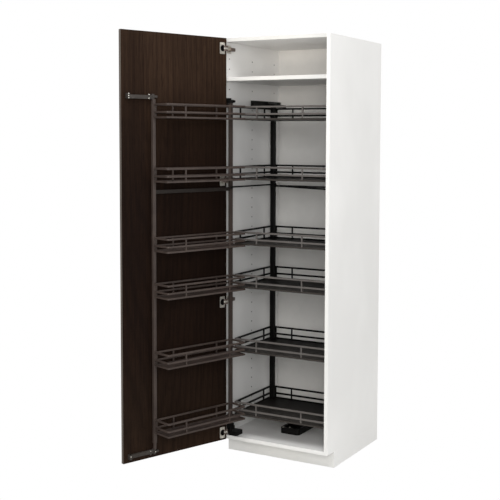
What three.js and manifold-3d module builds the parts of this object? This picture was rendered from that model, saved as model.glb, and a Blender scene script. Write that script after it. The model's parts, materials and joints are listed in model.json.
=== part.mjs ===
// Tall larder cabinet: a white carcass on legs, one side-hung door, a rack of six shallow trays that
// swings out behind the door, and a frame of six deep trays that slides forward as the door opens.
//
// Millimetres. +X runs to the right along the front, +Y into the cabinet, +Z up. The model stands open,
// as the door leaves it at the end of its swing. Sizes are worked out from the front left corner of the
// carcass at the floor, and the whole is then moved so that its origin is the bottom centre of its box.
import * as THREE from "three";
import { mergeVertices } from "three/addons/utils/BufferGeometryUtils.js";
import Module from "manifold-3d";

const wasm = await Module();
wasm.setup();

// ---------------------------------------------------------------------------------------------
// Driving dimensions
// ---------------------------------------------------------------------------------------------

// Clearances
const SEAT_GAP = 0.3; // between pieces that bear on each other
const PIN_CLEARANCE = 0.4; // radial, between a pin and its hole

// Carcass
const CABINET_WIDTH = 600;
const CABINET_DEPTH = 600;
const CARCASS_HEIGHT = 2000;
const LEG_HEIGHT = 80;
const PANEL = 18;
const BACK_THICKNESS = 6;
const BACK_SETBACK = 38; // from the rear edges of the sides to the rear face of the back
const UPPER_SPACE_HEIGHT = 173; // clear height between the fixed shelf and the top
const TOE_RECESS = 76;
const PLINTH_THICKNESS = 16;
const LEG_INSET = 62; // from the side and from the rear edge
const LEG_BEHIND_PLINTH = 48;
const LEG_FOOT_RADIUS = 27;
const LEG_STEM_RADIUS = 15;

// Door
const DOOR_THICKNESS = 18;
const DOOR_REVEAL = 1.5; // carcass left uncovered round the door
const DOOR_GAP = 3; // between the shut door and the carcass
const DOOR_OPENING = 110.5; // degrees
const DOOR_EDGE_ROUND = 1;

// Cup hinges: the link turns on a pin in the arm, and the cup turns on a pin in the link.
const HINGE_FROM_END = { bottom: 39, top: 52 }; // from the carcass's underside and from its top
const MIDDLE_HINGE_SHARE = 0.3495; // of the carcass height, from its underside
const ARM_PIN_FROM_SIDE = 18.3;
const ARM_PIN_DEPTH = 4.8;
const CUP_PIN_FROM_EDGE = 11;
const CUP_PIN_SINK = 2; // below the inner face of the door
const LINK_TURN = 65; // degrees, while the door opens
const HINGE_PIN_RADIUS = 1.4;
const LINK_WIDTH = 8;
const LINK_THICKNESS = 2.6;
const LINK_DIP = 6.8; // how deep the link dips into the cup
const LINK_EYE_RADIUS = 2.8;
const CUP_RADIUS = 17.2;
const CUP_WALL = 1.7;
const CUP_DEPTH = 12.8;
const CUP_FROM_EDGE = 22.5;
const CUP_FLANGE = { width: 30, height: 56, thickness: 1.2, from: 10.5 };
const ARM_LENGTH = 58;
const ARM_WIDTH = 13;
const ARM_RISE = 13; // how far the arm stands off the side panel
const ARM_PLATE = { length: 38, height: 40, thickness: 2 };

// Top rail of each tray, the same in the rack and in the frame, as a share of the way from the first to the last
const FIRST_TRAY_BELOW_SHELF = 129; // from the underside of the fixed shelf
const LAST_TRAY_ABOVE_FLOOR = 166; // from the upper face of the bottom panel
const TRAY_SHARES = [0, 0.1996, 0.4181, 0.5636, 0.7821, 1];

// Trays
const RAIL = 6.4; // across a rail of the gallery
const GALLERY_HEIGHT = 62; // from the top rail's axis to the underside of the tray
const MIDDLE_RAIL_DROP = 33;
const TRAY_FLOOR = 1.6;
const TRAY_RIM = 8;
const TRAY_CORNER = 7;
const UPRIGHT = 5; // across an upright of the gallery

// Rack behind the door
const RACK_AXIS_FROM_SIDE = 32;
const RACK_AXIS_DEPTH = 13;
const RACK_OPENING = 108.5; // degrees
const RACK_POST = 16;
const RACK_POST_SPACING = 462;
const RACK_TRAY_START = 3; // from the axis of the rack
const RACK_TRAY_LENGTH = 462;
const RACK_TRAY_DEPTH = 103.5;
const RACK_UPRIGHTS = [100, 362]; // from the axis of the rack
const RACK_POST_ABOVE_FLOOR = 26;
const RACK_POST_ABOVE_TRAY = 20.7; // over the top rail of the first tray
const RACK_BAR = { height: 28, thickness: 6, belowTray: 88, forward: 4.5 }; // under the second tray's top rail
const HANGER_THICKNESS = 3;
const PIVOT_PIN_RADIUS = 4;
const PIVOT_PIN_LENGTH = 14;

// Rails on the door that steer the free post of the rack
const DOOR_RAIL = { height: 18, thickness: 12, stand: 7, length: 143, from: 432 };
const DOOR_RAIL_ABOVE_TRAY = 44; // from the top rail of the first tray to the rail's upper edge
const DOOR_RAIL_ABOVE_FLOOR = 8; // from the upper face of the bottom panel to the lower rail
const RAIL_CLAMP = { width: 13, height: 24 };

// Sliding frame
const FRAME_FRONT = 25; // axis of the front rails, from the front edge of the carcass
const FRAME_RIGHT_GAP = 12.5; // from the axis of the right rails to the right side
const FRAME_POST = 24;
const FRAME_POST_FROM_SIDE = 65; // from the left side to the axis of the post
const FRAME_POST_DEPTH = 383; // from the front edge of the carcass to the axis of the post
const FRAME_POST_ROUND = 3.5;
const FRAME_UPRIGHTS = [192, 444]; // across the cabinet
const FRAME_SIDE_UPRIGHTS = [75, 315]; // from the front edge of the carcass
const FRAME_BRACE = { width: 12, thickness: 8, belowTray: 101, reach: 464, splay: 214 };

// Runners of the frame
const TOP_RUNNER = { fromSide: 34, width: 18, height: 15, aboveTray: 26, front: 203 };
const TOP_COVER = { width: 10, height: 14, length: 297 };
const RUNNER_END_GAP = 11; // to the back
const TOP_RUNNER_BRACKET = { length: 36, height: 10, fromFront: 66 };
const FLOOR_RUNNER = { width: 108, front: 163, side: 234, base: 5, lip: 24, lipWidth: 12, corner: 16 };
const CARRIAGE = { length: 118, height: 26, clearance: 1.5 };
const CARRIAGE_ARM = { width: 36, thickness: 9 };
const TOP_CARRIAGE = { height: 8, length: 36, sideGap: 0.5 };

// Rod between the rack and the frame
const ROD_WIDTH = 8;
const ROD_EYE_RADIUS = 5.6;
const ROD_THICKNESS = 7;
const ROD_ON_RACK = { along: 11, out: 19 }; // its front end, from the axis of the rack
const ROD_PIN_RADIUS = 2.5;
const ROD_PIN_CLEAR = 9; // from the side of the post to the axis of the pin

// ---------------------------------------------------------------------------------------------
// Places that follow from them
// ---------------------------------------------------------------------------------------------

const FLOOR_TOP = LEG_HEIGHT + PANEL;
const CARCASS_TOP = LEG_HEIGHT + CARCASS_HEIGHT;
const INNER_LEFT = PANEL;
const INNER_RIGHT = CABINET_WIDTH - PANEL;
const BACK_FACE = CABINET_DEPTH - BACK_SETBACK - BACK_THICKNESS;
const SHELF_TOP = CARCASS_TOP - PANEL - UPPER_SPACE_HEIGHT;
const FIRST_TRAY = SHELF_TOP - PANEL - FIRST_TRAY_BELOW_SHELF;
const LAST_TRAY = FLOOR_TOP + LAST_TRAY_ABOVE_FLOOR;
const TRAY_HEIGHTS = TRAY_SHARES.map((share) => FIRST_TRAY + share * (LAST_TRAY - FIRST_TRAY));
const HINGE_HEIGHTS = {
  bottom: LEG_HEIGHT + HINGE_FROM_END.bottom,
  middle: LEG_HEIGHT + MIDDLE_HINGE_SHARE * CARCASS_HEIGHT,
  top: CARCASS_TOP - HINGE_FROM_END.top,
};
const RACK_POST_FOOT = FLOOR_TOP + RACK_POST_ABOVE_FLOOR;
const RACK_POST_TOP = FIRST_TRAY + RACK_POST_ABOVE_TRAY;
const RACK_BAR_TOP = TRAY_HEIGHTS[1] - RACK_BAR.belowTray;
const BRACE_TOP = TRAY_HEIGHTS[1] - FRAME_BRACE.belowTray;
const DOOR_RAIL_TOP = FIRST_TRAY + DOOR_RAIL_ABOVE_TRAY;
const DOOR_RAIL_BOTTOM = FLOOR_TOP + DOOR_RAIL_ABOVE_FLOOR;
const TOP_RUNNER_TOP = FIRST_TRAY + TOP_RUNNER.aboveTray;
const DOOR_WIDTH = CABINET_WIDTH - 2 * DOOR_REVEAL;
const DOOR_BOTTOM = LEG_HEIGHT + DOOR_REVEAL;
const DOOR_TOP = CARCASS_TOP - DOOR_REVEAL;

const ARM_PIN = new THREE.Vector2(INNER_LEFT + ARM_PIN_FROM_SIDE, ARM_PIN_DEPTH);
const DOOR_CORNER = new THREE.Vector2(DOOR_REVEAL, -DOOR_GAP); // hinge edge, inner face, door shut
const CUP_PIN = new THREE.Vector2(DOOR_REVEAL + CUP_PIN_FROM_EDGE, -DOOR_GAP - CUP_PIN_SINK);
const RACK_AXIS = new THREE.Vector2(INNER_LEFT + RACK_AXIS_FROM_SIDE, RACK_AXIS_DEPTH);

// The post stands inside the rear left corner of the rails, with the gap of a seated piece.
const FRAME_POST_AXIS = new THREE.Vector2(INNER_LEFT + FRAME_POST_FROM_SIDE, FRAME_POST_DEPTH);
const POST_TO_RAIL = FRAME_POST / 2 + SEAT_GAP + RAIL / 2;
const FRAME_LEFT = FRAME_POST_AXIS.x - POST_TO_RAIL;
const FRAME_RIGHT = INNER_RIGHT - FRAME_RIGHT_GAP;
const FRAME_REAR = FRAME_POST_AXIS.y + POST_TO_RAIL;
const TOP_CARRIAGE_UNDER = TOP_RUNNER_TOP + SEAT_GAP;
const CARRIAGE_ARM_TOP = FLOOR_TOP + FLOOR_RUNNER.base + CARRIAGE.height + CARRIAGE_ARM.thickness;

// ---------------------------------------------------------------------------------------------
// Finishes
// ---------------------------------------------------------------------------------------------

const finish = (color, roughness, metalness) =>
  new THREE.MeshStandardMaterial({ color, roughness, metalness });
const WHITE_FOIL = finish(0xe9e9e6, 0.45, 0);
const WHITE_HARDBOARD = finish(0xdcdbd7, 0.6, 0);
const DARK_ASH = finish(0x2e241c, 0.55, 0);
const TRAY_STEEL = finish(0x4a4342, 0.45, 0.4);
const BLACK_STEEL = finish(0x171614, 0.45, 0.4);
const GREY_STEEL = finish(0x5a5856, 0.4, 0.6);
const NICKEL = finish(0xb9b6ae, 0.3, 1);
const BLACK_PLASTIC = finish(0x1c1c1c, 0.6, 0);

// ---------------------------------------------------------------------------------------------
// Solids
// ---------------------------------------------------------------------------------------------

// A closed geometry as a solid that can be joined and cut.
function solid(geometry) {
  const bare = geometry.clone();
  bare.deleteAttribute("normal");
  bare.deleteAttribute("uv");
  const merged = mergeVertices(bare, 1e-4);
  return new wasm.Manifold(
    new wasm.Mesh({
      numProp: 3,
      vertProperties: new Float32Array(merged.attributes.position.array),
      triVerts: new Uint32Array(merged.index.array),
    }),
  );
}

// A solid back as a geometry.
function surface(body) {
  const mesh = body.getMesh();
  const geometry = new THREE.BufferGeometry();
  geometry.setAttribute("position", new THREE.BufferAttribute(mesh.vertProperties, 3));
  geometry.setIndex(new THREE.BufferAttribute(mesh.triVerts, 1));
  const flat = geometry.toNonIndexed();
  flat.computeVertexNormals();
  return flat;
}

const join = (...bodies) => bodies.reduce((whole, body) => whole.add(body));
const cut = (body, ...tools) => tools.reduce((rest, tool) => rest.subtract(tool), body);

// A block between two corners.
function block(x, y, z) {
  const size = [x[1] - x[0], y[1] - y[0], z[1] - z[0]];
  return solid(
    new THREE.BoxGeometry(...size).translate((x[0] + x[1]) / 2, (y[0] + y[1]) / 2, (z[0] + z[1]) / 2),
  );
}

// A block centred on a place in plan.
function blockAt(centre, width, depth, z) {
  return block(
    [centre.x - width / 2, centre.x + width / 2],
    [centre.y - depth / 2, centre.y + depth / 2],
    z,
  );
}

// An outline raised from one height to another.
function raise(shape, z, bevel = 0, segments = 2) {
  const geometry = new THREE.ExtrudeGeometry(shape, {
    depth: z[1] - z[0] - 2 * bevel,
    bevelEnabled: bevel > 0,
    bevelThickness: bevel,
    bevelSize: bevel,
    bevelOffset: -bevel,
    bevelSegments: 1,
    curveSegments: segments,
  });
  return solid(geometry.translate(0, 0, z[0] + bevel));
}

// An upright cylinder.
function column(centre, radius, z, sides = 8) {
  const geometry = new THREE.CylinderGeometry(radius, radius, z[1] - z[0], sides);
  return solid(geometry.rotateX(Math.PI / 2).translate(centre.x, centre.y, (z[0] + z[1]) / 2));
}

// A rectangle with round corners, between two corners in plan.
function roundedRectangle(x, y, radius, Kind = THREE.Shape) {
  const shape = new Kind();
  shape.moveTo(x[0] + radius, y[0]);
  shape.lineTo(x[1] - radius, y[0]);
  shape.absarc(x[1] - radius, y[0] + radius, radius, -Math.PI / 2, 0);
  shape.lineTo(x[1], y[1] - radius);
  shape.absarc(x[1] - radius, y[1] - radius, radius, 0, Math.PI / 2);
  shape.lineTo(x[0] + radius, y[1]);
  shape.absarc(x[0] + radius, y[1] - radius, radius, Math.PI / 2, Math.PI);
  shape.lineTo(x[0], y[0] + radius);
  shape.absarc(x[0] + radius, y[0] + radius, radius, Math.PI, Math.PI * 1.5);
  return shape;
}

// A strip of constant width along a bent line in plan, with mitred bends.
function strip(points, width, z) {
  const left = [];
  const right = [];
  points.forEach((point, i) => {
    const before = points[Math.max(i - 1, 0)];
    const after = points[Math.min(i + 1, points.length - 1)];
    const a = point.clone().sub(i > 0 ? before : after).normalize();
    if (i === 0) a.negate();
    const b = after.clone().sub(i < points.length - 1 ? point : before).normalize();
    const normal = new THREE.Vector2(-(a.y + b.y), a.x + b.x).normalize();
    const miter = width / 2 / Math.max(normal.dot(new THREE.Vector2(-a.y, a.x)), 0.5);
    left.push(point.clone().addScaledVector(normal, miter));
    right.unshift(point.clone().addScaledVector(normal, -miter));
  });
  return raise(new THREE.Shape([...right, ...left]), z);
}

const plan = (x, y) => new THREE.Vector2(x, y);

function turned(vector, degrees) {
  return vector.clone().rotateAround(new THREE.Vector2(), THREE.MathUtils.degToRad(degrees));
}

const model = new THREE.Group();

// Adds a solid to a group as a named mesh.
function add(group, name, body, material) {
  const mesh = new THREE.Mesh(surface(body), material);
  mesh.name = name;
  group.add(mesh);
}

// ---------------------------------------------------------------------------------------------
// Carcass, legs and plinth
// ---------------------------------------------------------------------------------------------

const cabinet = new THREE.Group();
model.add(cabinet);

function buildCarcass() {
  for (const [side, x] of Object.entries({ left: 0, right: INNER_RIGHT })) {
    const panel = block([x, x + PANEL], [0, CABINET_DEPTH], [LEG_HEIGHT, CARCASS_TOP]);
    add(cabinet, `side_panel_${side}`, panel, WHITE_FOIL);
  }

  const across = [INNER_LEFT, INNER_RIGHT];
  const boards = {
    bottom_panel: [[0, CABINET_DEPTH], LEG_HEIGHT],
    top_panel: [[0, CABINET_DEPTH], CARCASS_TOP - PANEL],
    fixed_shelf: [[0, BACK_FACE], SHELF_TOP - PANEL],
  };
  for (const [name, [depth, under]] of Object.entries(boards)) {
    add(cabinet, name, block(across, depth, [under, under + PANEL]), WHITE_FOIL);
  }
  const back = block(
    across,
    [BACK_FACE, BACK_FACE + BACK_THICKNESS],
    [FLOOR_TOP, CARCASS_TOP - PANEL],
  );
  add(cabinet, "back_panel", back, WHITE_HARDBOARD);
}

function buildPlinth() {
  const height = [0, LEG_HEIGHT];
  const front = [TOE_RECESS, TOE_RECESS + PLINTH_THICKNESS];
  add(cabinet, "plinth_front", block([0, CABINET_WIDTH], front, height), WHITE_FOIL);
  const sides = { left: 0, right: CABINET_WIDTH - PLINTH_THICKNESS };
  for (const [side, x] of Object.entries(sides)) {
    const board = block([x, x + PLINTH_THICKNESS], [front[1], CABINET_DEPTH], height);
    add(cabinet, `plinth_side_${side}`, board, WHITE_FOIL);
  }
}

// An adjustable leg: a round foot, a threaded stem and a socket under the bottom panel.
function leg(centre) {
  const foot = LEG_FOOT_RADIUS;
  const stem = LEG_STEM_RADIUS;
  const profile = [
    [0, 0],
    [foot, 0],
    [foot, 5],
    [stem * 0.8, 10],
    [stem * 0.8, LEG_HEIGHT * 0.45],
    [stem * 1.3, LEG_HEIGHT * 0.5],
    [stem * 1.3, LEG_HEIGHT - 6],
    [foot * 1.1, LEG_HEIGHT - 4],
    [foot * 1.1, LEG_HEIGHT],
    [0, LEG_HEIGHT],
  ].map(([x, y]) => plan(x, y));
  const body = new THREE.LatheGeometry(profile, 10).rotateX(Math.PI / 2);
  return solid(body.translate(centre.x, centre.y, 0));
}

function buildLegs() {
  const front = TOE_RECESS + PLINTH_THICKNESS + LEG_BEHIND_PLINTH;
  const places = {
    front_left: plan(LEG_INSET, front),
    front_right: plan(CABINET_WIDTH - LEG_INSET, front),
    rear_left: plan(LEG_INSET, CABINET_DEPTH - LEG_INSET),
    rear_right: plan(CABINET_WIDTH - LEG_INSET, CABINET_DEPTH - LEG_INSET),
  };
  for (const [name, centre] of Object.entries(places)) {
    add(cabinet, `leg_${name}`, leg(centre), BLACK_PLASTIC);
  }
}

// ---------------------------------------------------------------------------------------------
// Cup hinges
// ---------------------------------------------------------------------------------------------

// The arm on the side panel: a plate, a cranked body, and two ears that hold the pin of the link.
function hingeArm(height) {
  const inner = LINK_WIDTH / 2 + PIN_CLEARANCE;
  const outer = ARM_WIDTH / 2;
  const front = ARM_PIN_DEPTH + ARM_RISE * 0.75;
  const body = new THREE.Shape([
    plan(INNER_LEFT, front + 6),
    plan(INNER_LEFT + 4, front),
    plan(INNER_LEFT + ARM_RISE, front),
    plan(INNER_LEFT + ARM_RISE, front + ARM_LENGTH - 8),
    plan(INNER_LEFT + ARM_RISE - 4, front + ARM_LENGTH),
    plan(INNER_LEFT, front + ARM_LENGTH),
  ]);
  const root = plan(INNER_LEFT + ARM_RISE - LINK_EYE_RADIUS, front + 5);
  const ears = [
    [height + inner, height + outer],
    [height - outer, height - inner],
  ].flatMap((z) => [
    strip([root, ARM_PIN], 2 * LINK_EYE_RADIUS, z),
    column(ARM_PIN, LINK_EYE_RADIUS, z),
  ]);
  const mid = front + ARM_LENGTH * 0.55;
  const plate = block(
    [INNER_LEFT, INNER_LEFT + ARM_PLATE.thickness],
    [mid - ARM_PLATE.length / 2, mid + ARM_PLATE.length / 2],
    [height - ARM_PLATE.height / 2, height + ARM_PLATE.height / 2],
  );
  const pin = column(ARM_PIN, HINGE_PIN_RADIUS, [height - outer, height + outer]);
  return join(raise(body, [height - outer, height + outer]), plate, pin, ...ears);
}

// The link, drawn with the door shut: it dips into the cup and comes out round its rim.
function hingeLink(height) {
  const z = [height - LINK_WIDTH / 2, height + LINK_WIDTH / 2];
  const dip = -DOOR_GAP - LINK_DIP;
  const path = [
    CUP_PIN,
    plan(CUP_PIN.x + 2, dip),
    plan(ARM_PIN.x - 9.3, dip),
    plan(ARM_PIN.x - 3, ARM_PIN.y - 4.5),
    ARM_PIN,
  ];
  const ends = [CUP_PIN, ARM_PIN];
  const eyes = ends.map((pin) => column(pin, LINK_EYE_RADIUS, z));
  const holes = ends.map((pin) => column(pin, HINGE_PIN_RADIUS + PIN_CLEARANCE, z));
  return cut(join(strip(path, LINK_THICKNESS, z), ...eyes), ...holes);
}

// The cup, in the door's own place: a drawn steel cup, its flange, and the pin across it.
function hingeCup(height) {
  const centre = plan(CUP_FROM_EDGE, -height);
  const outside = column(centre, CUP_RADIUS, [-CUP_DEPTH, 0], 16);
  const inside = column(centre, CUP_RADIUS - CUP_WALL, [-CUP_DEPTH + CUP_WALL, CUP_DEPTH], 16);
  const flange = raise(
    roundedRectangle(
      [CUP_FLANGE.from, CUP_FLANGE.from + CUP_FLANGE.width],
      [-height - CUP_FLANGE.height / 2, -height + CUP_FLANGE.height / 2],
      4,
    ),
    [0, CUP_FLANGE.thickness],
  );
  const shell = cut(join(outside, flange), inside);
  const pin = new THREE.CylinderGeometry(HINGE_PIN_RADIUS, HINGE_PIN_RADIUS, 23, 8);
  pin.translate(CUP_PIN_FROM_EDGE, -height, -CUP_PIN_SINK);
  // Drawn lying flat, with the height along -y, then stood up into the door.
  return join(shell, solid(pin)).rotate([-90, 0, 0]);
}

function buildHinges(links, door) {
  for (const [name, height] of Object.entries(HINGE_HEIGHTS)) {
    add(cabinet, `hinge_arm_${name}`, hingeArm(height), NICKEL);
    add(links, `hinge_link_${name}`, hingeLink(height).translate([-ARM_PIN.x, -ARM_PIN.y, 0]), NICKEL);
    add(door, `hinge_cup_${name}`, hingeCup(height), NICKEL);
  }
}

// ---------------------------------------------------------------------------------------------
// Door. Its own place: x from the hinge edge, y out of the inner face, z up.
// ---------------------------------------------------------------------------------------------

function doorPanel() {
  const outline = roundedRectangle([0, DOOR_WIDTH], [-DOOR_THICKNESS, 0], DOOR_EDGE_ROUND);
  const bores = Object.values(HINGE_HEIGHTS).map((height) => {
    const bore = new THREE.CylinderGeometry(
      CUP_RADIUS + SEAT_GAP,
      CUP_RADIUS + SEAT_GAP,
      2 * (CUP_DEPTH + SEAT_GAP),
      16,
    );
    return solid(bore.translate(CUP_FROM_EDGE, 0, height));
  });
  return cut(raise(outline, [DOOR_BOTTOM, DOOR_TOP]), ...bores);
}

// A rail on two clamps. The free post of the rack runs along it with the gap of a seated piece.
function doorRail(z, clampUp) {
  const start = DOOR_RAIL.from;
  const end = start + DOOR_RAIL.length;
  const bar = block([start, end], [DOOR_RAIL.stand, DOOR_RAIL.stand + DOOR_RAIL.thickness], z);
  const clampHeight = clampUp ? [z[0], z[0] + RAIL_CLAMP.height] : [z[1] - RAIL_CLAMP.height, z[1]];
  const clamps = [start, end - RAIL_CLAMP.width].map((x) =>
    block([x, x + RAIL_CLAMP.width], [SEAT_GAP, DOOR_RAIL.stand + DOOR_RAIL.thickness + 2], clampHeight),
  );
  return join(bar, ...clamps);
}

// Where the inner corner of the hinge edge stands when the door is open.
function openDoorCorner() {
  const pin = turned(CUP_PIN.clone().sub(ARM_PIN), LINK_TURN).add(ARM_PIN);
  return turned(DOOR_CORNER.clone().sub(CUP_PIN), -DOOR_OPENING).add(pin);
}

function buildDoor() {
  const door = new THREE.Group();
  const corner = openDoorCorner();
  door.position.set(corner.x, corner.y, 0);
  door.rotation.z = THREE.MathUtils.degToRad(-DOOR_OPENING);
  model.add(door);
  add(door, "door_panel", doorPanel(), DARK_ASH);
  const upper = [DOOR_RAIL_TOP - DOOR_RAIL.height, DOOR_RAIL_TOP];
  const lower = [DOOR_RAIL_BOTTOM, DOOR_RAIL_BOTTOM + DOOR_RAIL.height];
  add(door, "door_rail_top", doorRail(upper, true), GREY_STEEL);
  add(door, "door_rail_bottom", doorRail(lower, false), GREY_STEEL);

  const links = new THREE.Group();
  links.position.set(ARM_PIN.x, ARM_PIN.y, 0);
  links.rotation.z = THREE.MathUtils.degToRad(LINK_TURN);
  model.add(links);
  buildHinges(links, door);
}

// ---------------------------------------------------------------------------------------------
// Trays
// ---------------------------------------------------------------------------------------------

// A shallow pan: a floor with a turned-up rim, under the gallery's rails. A post may pass through it.
function pan(x, y, top, post) {
  const half = RAIL / 2;
  const outerX = [x[0] - half, x[1] + half];
  const outerY = [y[0] - half, y[1] + half];
  const under = top - GALLERY_HEIGHT;
  const outer = raise(roundedRectangle(outerX, outerY, TRAY_CORNER), [under, under + TRAY_RIM], 0, 1);
  const wall = 1.5;
  const hollow = raise(
    roundedRectangle(
      [outerX[0] + wall, outerX[1] - wall],
      [outerY[0] + wall, outerY[1] - wall],
      TRAY_CORNER - wall,
    ),
    [under + TRAY_FLOOR, under + TRAY_RIM + 1],
    0,
    1,
  );
  const passage = post ? [blockAt(post, post.width, post.width, [under - 1, under + TRAY_RIM + 1])] : [];
  return cut(outer, hollow, ...passage);
}

// One rail of the gallery: a closed ring of square bar.
function ring(x, y, axis) {
  const half = RAIL / 2;
  const shape = roundedRectangle([x[0] - half, x[1] + half], [y[0] - half, y[1] + half], TRAY_CORNER);
  shape.holes.push(
    roundedRectangle([x[0] + half, x[1] - half], [y[0] + half, y[1] - half], TRAY_CORNER - RAIL / 2, THREE.Path),
  );
  return raise(shape, [axis - half, axis + half], 0, 1);
}

// Two rails on uprights that stand on the rim of the pan, and the plate that hangs them on a post.
function gallery(x, y, top, uprights, plates) {
  const foot = top - GALLERY_HEIGHT + TRAY_RIM + SEAT_GAP;
  const posts = uprights.map((place) => blockAt(place, UPRIGHT, UPRIGHT, [foot, top]));
  const hangers = plates.map((place) =>
    blockAt(place, place.width, place.depth, [foot, top + RAIL / 2]),
  );
  return join(ring(x, y, top), ring(x, y, top - MIDDLE_RAIL_DROP), ...posts, ...hangers);
}

function addTrays(group, name, x, y, uprights, plates, post) {
  TRAY_HEIGHTS.forEach((top, i) => {
    add(group, `${name}_tray_${i + 1}`, pan(x, y, top, post), TRAY_STEEL);
    add(group, `${name}_gallery_${i + 1}`, gallery(x, y, top, uprights, plates), TRAY_STEEL);
  });
}

// ---------------------------------------------------------------------------------------------
// Rack behind the door. Its own place: x along the rack from its axis, y out of its front.
// ---------------------------------------------------------------------------------------------

function rackPost(x, z) {
  return blockAt(plan(x, 0), RACK_POST, RACK_POST, z);
}

function rackHingePost() {
  const bore = PIVOT_PIN_RADIUS + 2 * PIN_CLEARANCE;
  const depth = PIVOT_PIN_LENGTH + SEAT_GAP;
  return cut(
    rackPost(0, [RACK_POST_FOOT, RACK_POST_TOP]),
    column(plan(0, 0), bore, [RACK_POST_FOOT - 1, RACK_POST_FOOT + depth]),
    column(plan(0, 0), bore, [RACK_POST_TOP - depth, RACK_POST_TOP + 1]),
  );
}

function rackFreePost() {
  const top = DOOR_RAIL_TOP - DOOR_RAIL.height - SEAT_GAP;
  const foot = DOOR_RAIL_BOTTOM + DOOR_RAIL.height + SEAT_GAP;
  const shoe = 30;
  return join(
    rackPost(RACK_POST_SPACING, [foot + shoe, top]),
    blockAt(plan(RACK_POST_SPACING, 0), RACK_POST - 4, RACK_POST - 4, [foot, foot + shoe]),
  );
}

// The flat bar between the posts, and the lug at its end that drives the rod.
function rackBar() {
  const from = RACK_POST / 2 + SEAT_GAP;
  const half = RACK_BAR.thickness / 2;
  const x = [from, RACK_POST_SPACING - from];
  const y = [RACK_BAR.forward - half, RACK_BAR.forward + half];
  const lugX = [from, ROD_ON_RACK.along + ROD_WIDTH / 2];
  const lugY = [y[0], ROD_ON_RACK.out + ROD_WIDTH / 2];
  return join(
    block(x, y, [RACK_BAR_TOP - RACK_BAR.height, RACK_BAR_TOP]),
    block(lugX, lugY, [BRACE_TOP - FRAME_BRACE.thickness, BRACE_TOP]),
  );
}

function buildRack() {
  const rack = new THREE.Group();
  rack.position.set(RACK_AXIS.x, RACK_AXIS.y, 0);
  rack.rotation.z = THREE.MathUtils.degToRad(-RACK_OPENING);
  model.add(rack);
  add(rack, "rack_post_hinge", rackHingePost(), TRAY_STEEL);
  add(rack, "rack_post_free", rackFreePost(), TRAY_STEEL);
  add(rack, "rack_crossbar", rackBar(), BLACK_STEEL);

  const face = RACK_POST / 2 + SEAT_GAP;
  const x = [RACK_TRAY_START, RACK_TRAY_START + RACK_TRAY_LENGTH];
  const y = [face + RAIL / 2, face + RAIL / 2 + RACK_TRAY_DEPTH];
  const uprights = RACK_UPRIGHTS.flatMap((u) => y.map((side) => plan(u, side)));
  const plates = [x[0] + 5, x[1] - 5].map((u) => ({
    x: u,
    y: face + HANGER_THICKNESS / 2,
    width: RACK_POST,
    depth: HANGER_THICKNESS,
  }));
  addTrays(rack, "rack", x, y, uprights, plates);
}

// The two brackets that carry the rack's pins.
function buildRackBrackets() {
  const arm = 16;
  const under = RACK_POST_TOP + SEAT_GAP;
  const reach = RACK_AXIS.x + 12;
  const depth = [RACK_AXIS.y - 12, RACK_AXIS.y + 12];
  const knob = new THREE.CylinderGeometry(6, 6, 10, 8).rotateZ(Math.PI / 2);
  knob.translate(reach + 4, RACK_AXIS.y + 6, under + arm / 2);
  const top = join(
    raise(roundedRectangle([INNER_LEFT, reach], depth, 5), [under, under + arm]),
    block([INNER_LEFT, INNER_LEFT + 3], [depth[0], depth[1] + 42], [under - 20, under + arm + 10]),
    column(RACK_AXIS, PIVOT_PIN_RADIUS, [RACK_POST_TOP - PIVOT_PIN_LENGTH, under + 1]),
    solid(knob),
  );
  add(cabinet, "rack_bracket_top", top, BLACK_STEEL);

  const over = RACK_POST_FOOT - SEAT_GAP;
  const bottom = join(
    raise(roundedRectangle([RACK_AXIS.x - 9.5, RACK_AXIS.x + 42], [depth[0] + 3, depth[1] + 42], 9), [
      FLOOR_TOP,
      over - 6,
    ]),
    column(RACK_AXIS, RACK_POST / 2 + 1, [FLOOR_TOP, over], 12),
    column(RACK_AXIS, PIVOT_PIN_RADIUS, [FLOOR_TOP + 1, RACK_POST_FOOT + PIVOT_PIN_LENGTH]),
  );
  add(cabinet, "rack_bracket_bottom", bottom, BLACK_STEEL);
}

// ---------------------------------------------------------------------------------------------
// Sliding frame and its runners
// ---------------------------------------------------------------------------------------------

// The rod's rear pin stands on the slanted bar of the brace, beside the post.
const ROD_REAR_OUT = FRAME_POST / 2 + ROD_PIN_CLEAR;
const ROD_REAR = plan(
  FRAME_POST_AXIS.x + ROD_REAR_OUT,
  FRAME_POST_AXIS.y - (ROD_REAR_OUT * FRAME_BRACE.splay) / FRAME_BRACE.reach,
);

function framePost() {
  const half = FRAME_POST / 2;
  const outline = roundedRectangle(
    [FRAME_POST_AXIS.x - half, FRAME_POST_AXIS.x + half],
    [FRAME_POST_AXIS.y - half, FRAME_POST_AXIS.y + half],
    FRAME_POST_ROUND,
  );
  const post = raise(outline, [CARRIAGE_ARM_TOP, TOP_CARRIAGE_UNDER - SEAT_GAP]);
  const z = [BRACE_TOP - FRAME_BRACE.thickness, BRACE_TOP];
  const rear = FRAME_POST_AXIS.clone();
  const rearEnd = plan(rear.x + FRAME_BRACE.reach, rear.y);
  const frontEnd = plan(rear.x + FRAME_BRACE.reach, rear.y - FRAME_BRACE.splay);
  return join(
    post,
    strip([rear, rearEnd], FRAME_BRACE.width, z),
    strip([rear, frontEnd], FRAME_BRACE.width, z),
    column(ROD_REAR, ROD_PIN_RADIUS, [z[0] + 1, z[1] + ROD_THICKNESS + 3]),
  );
}

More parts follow.
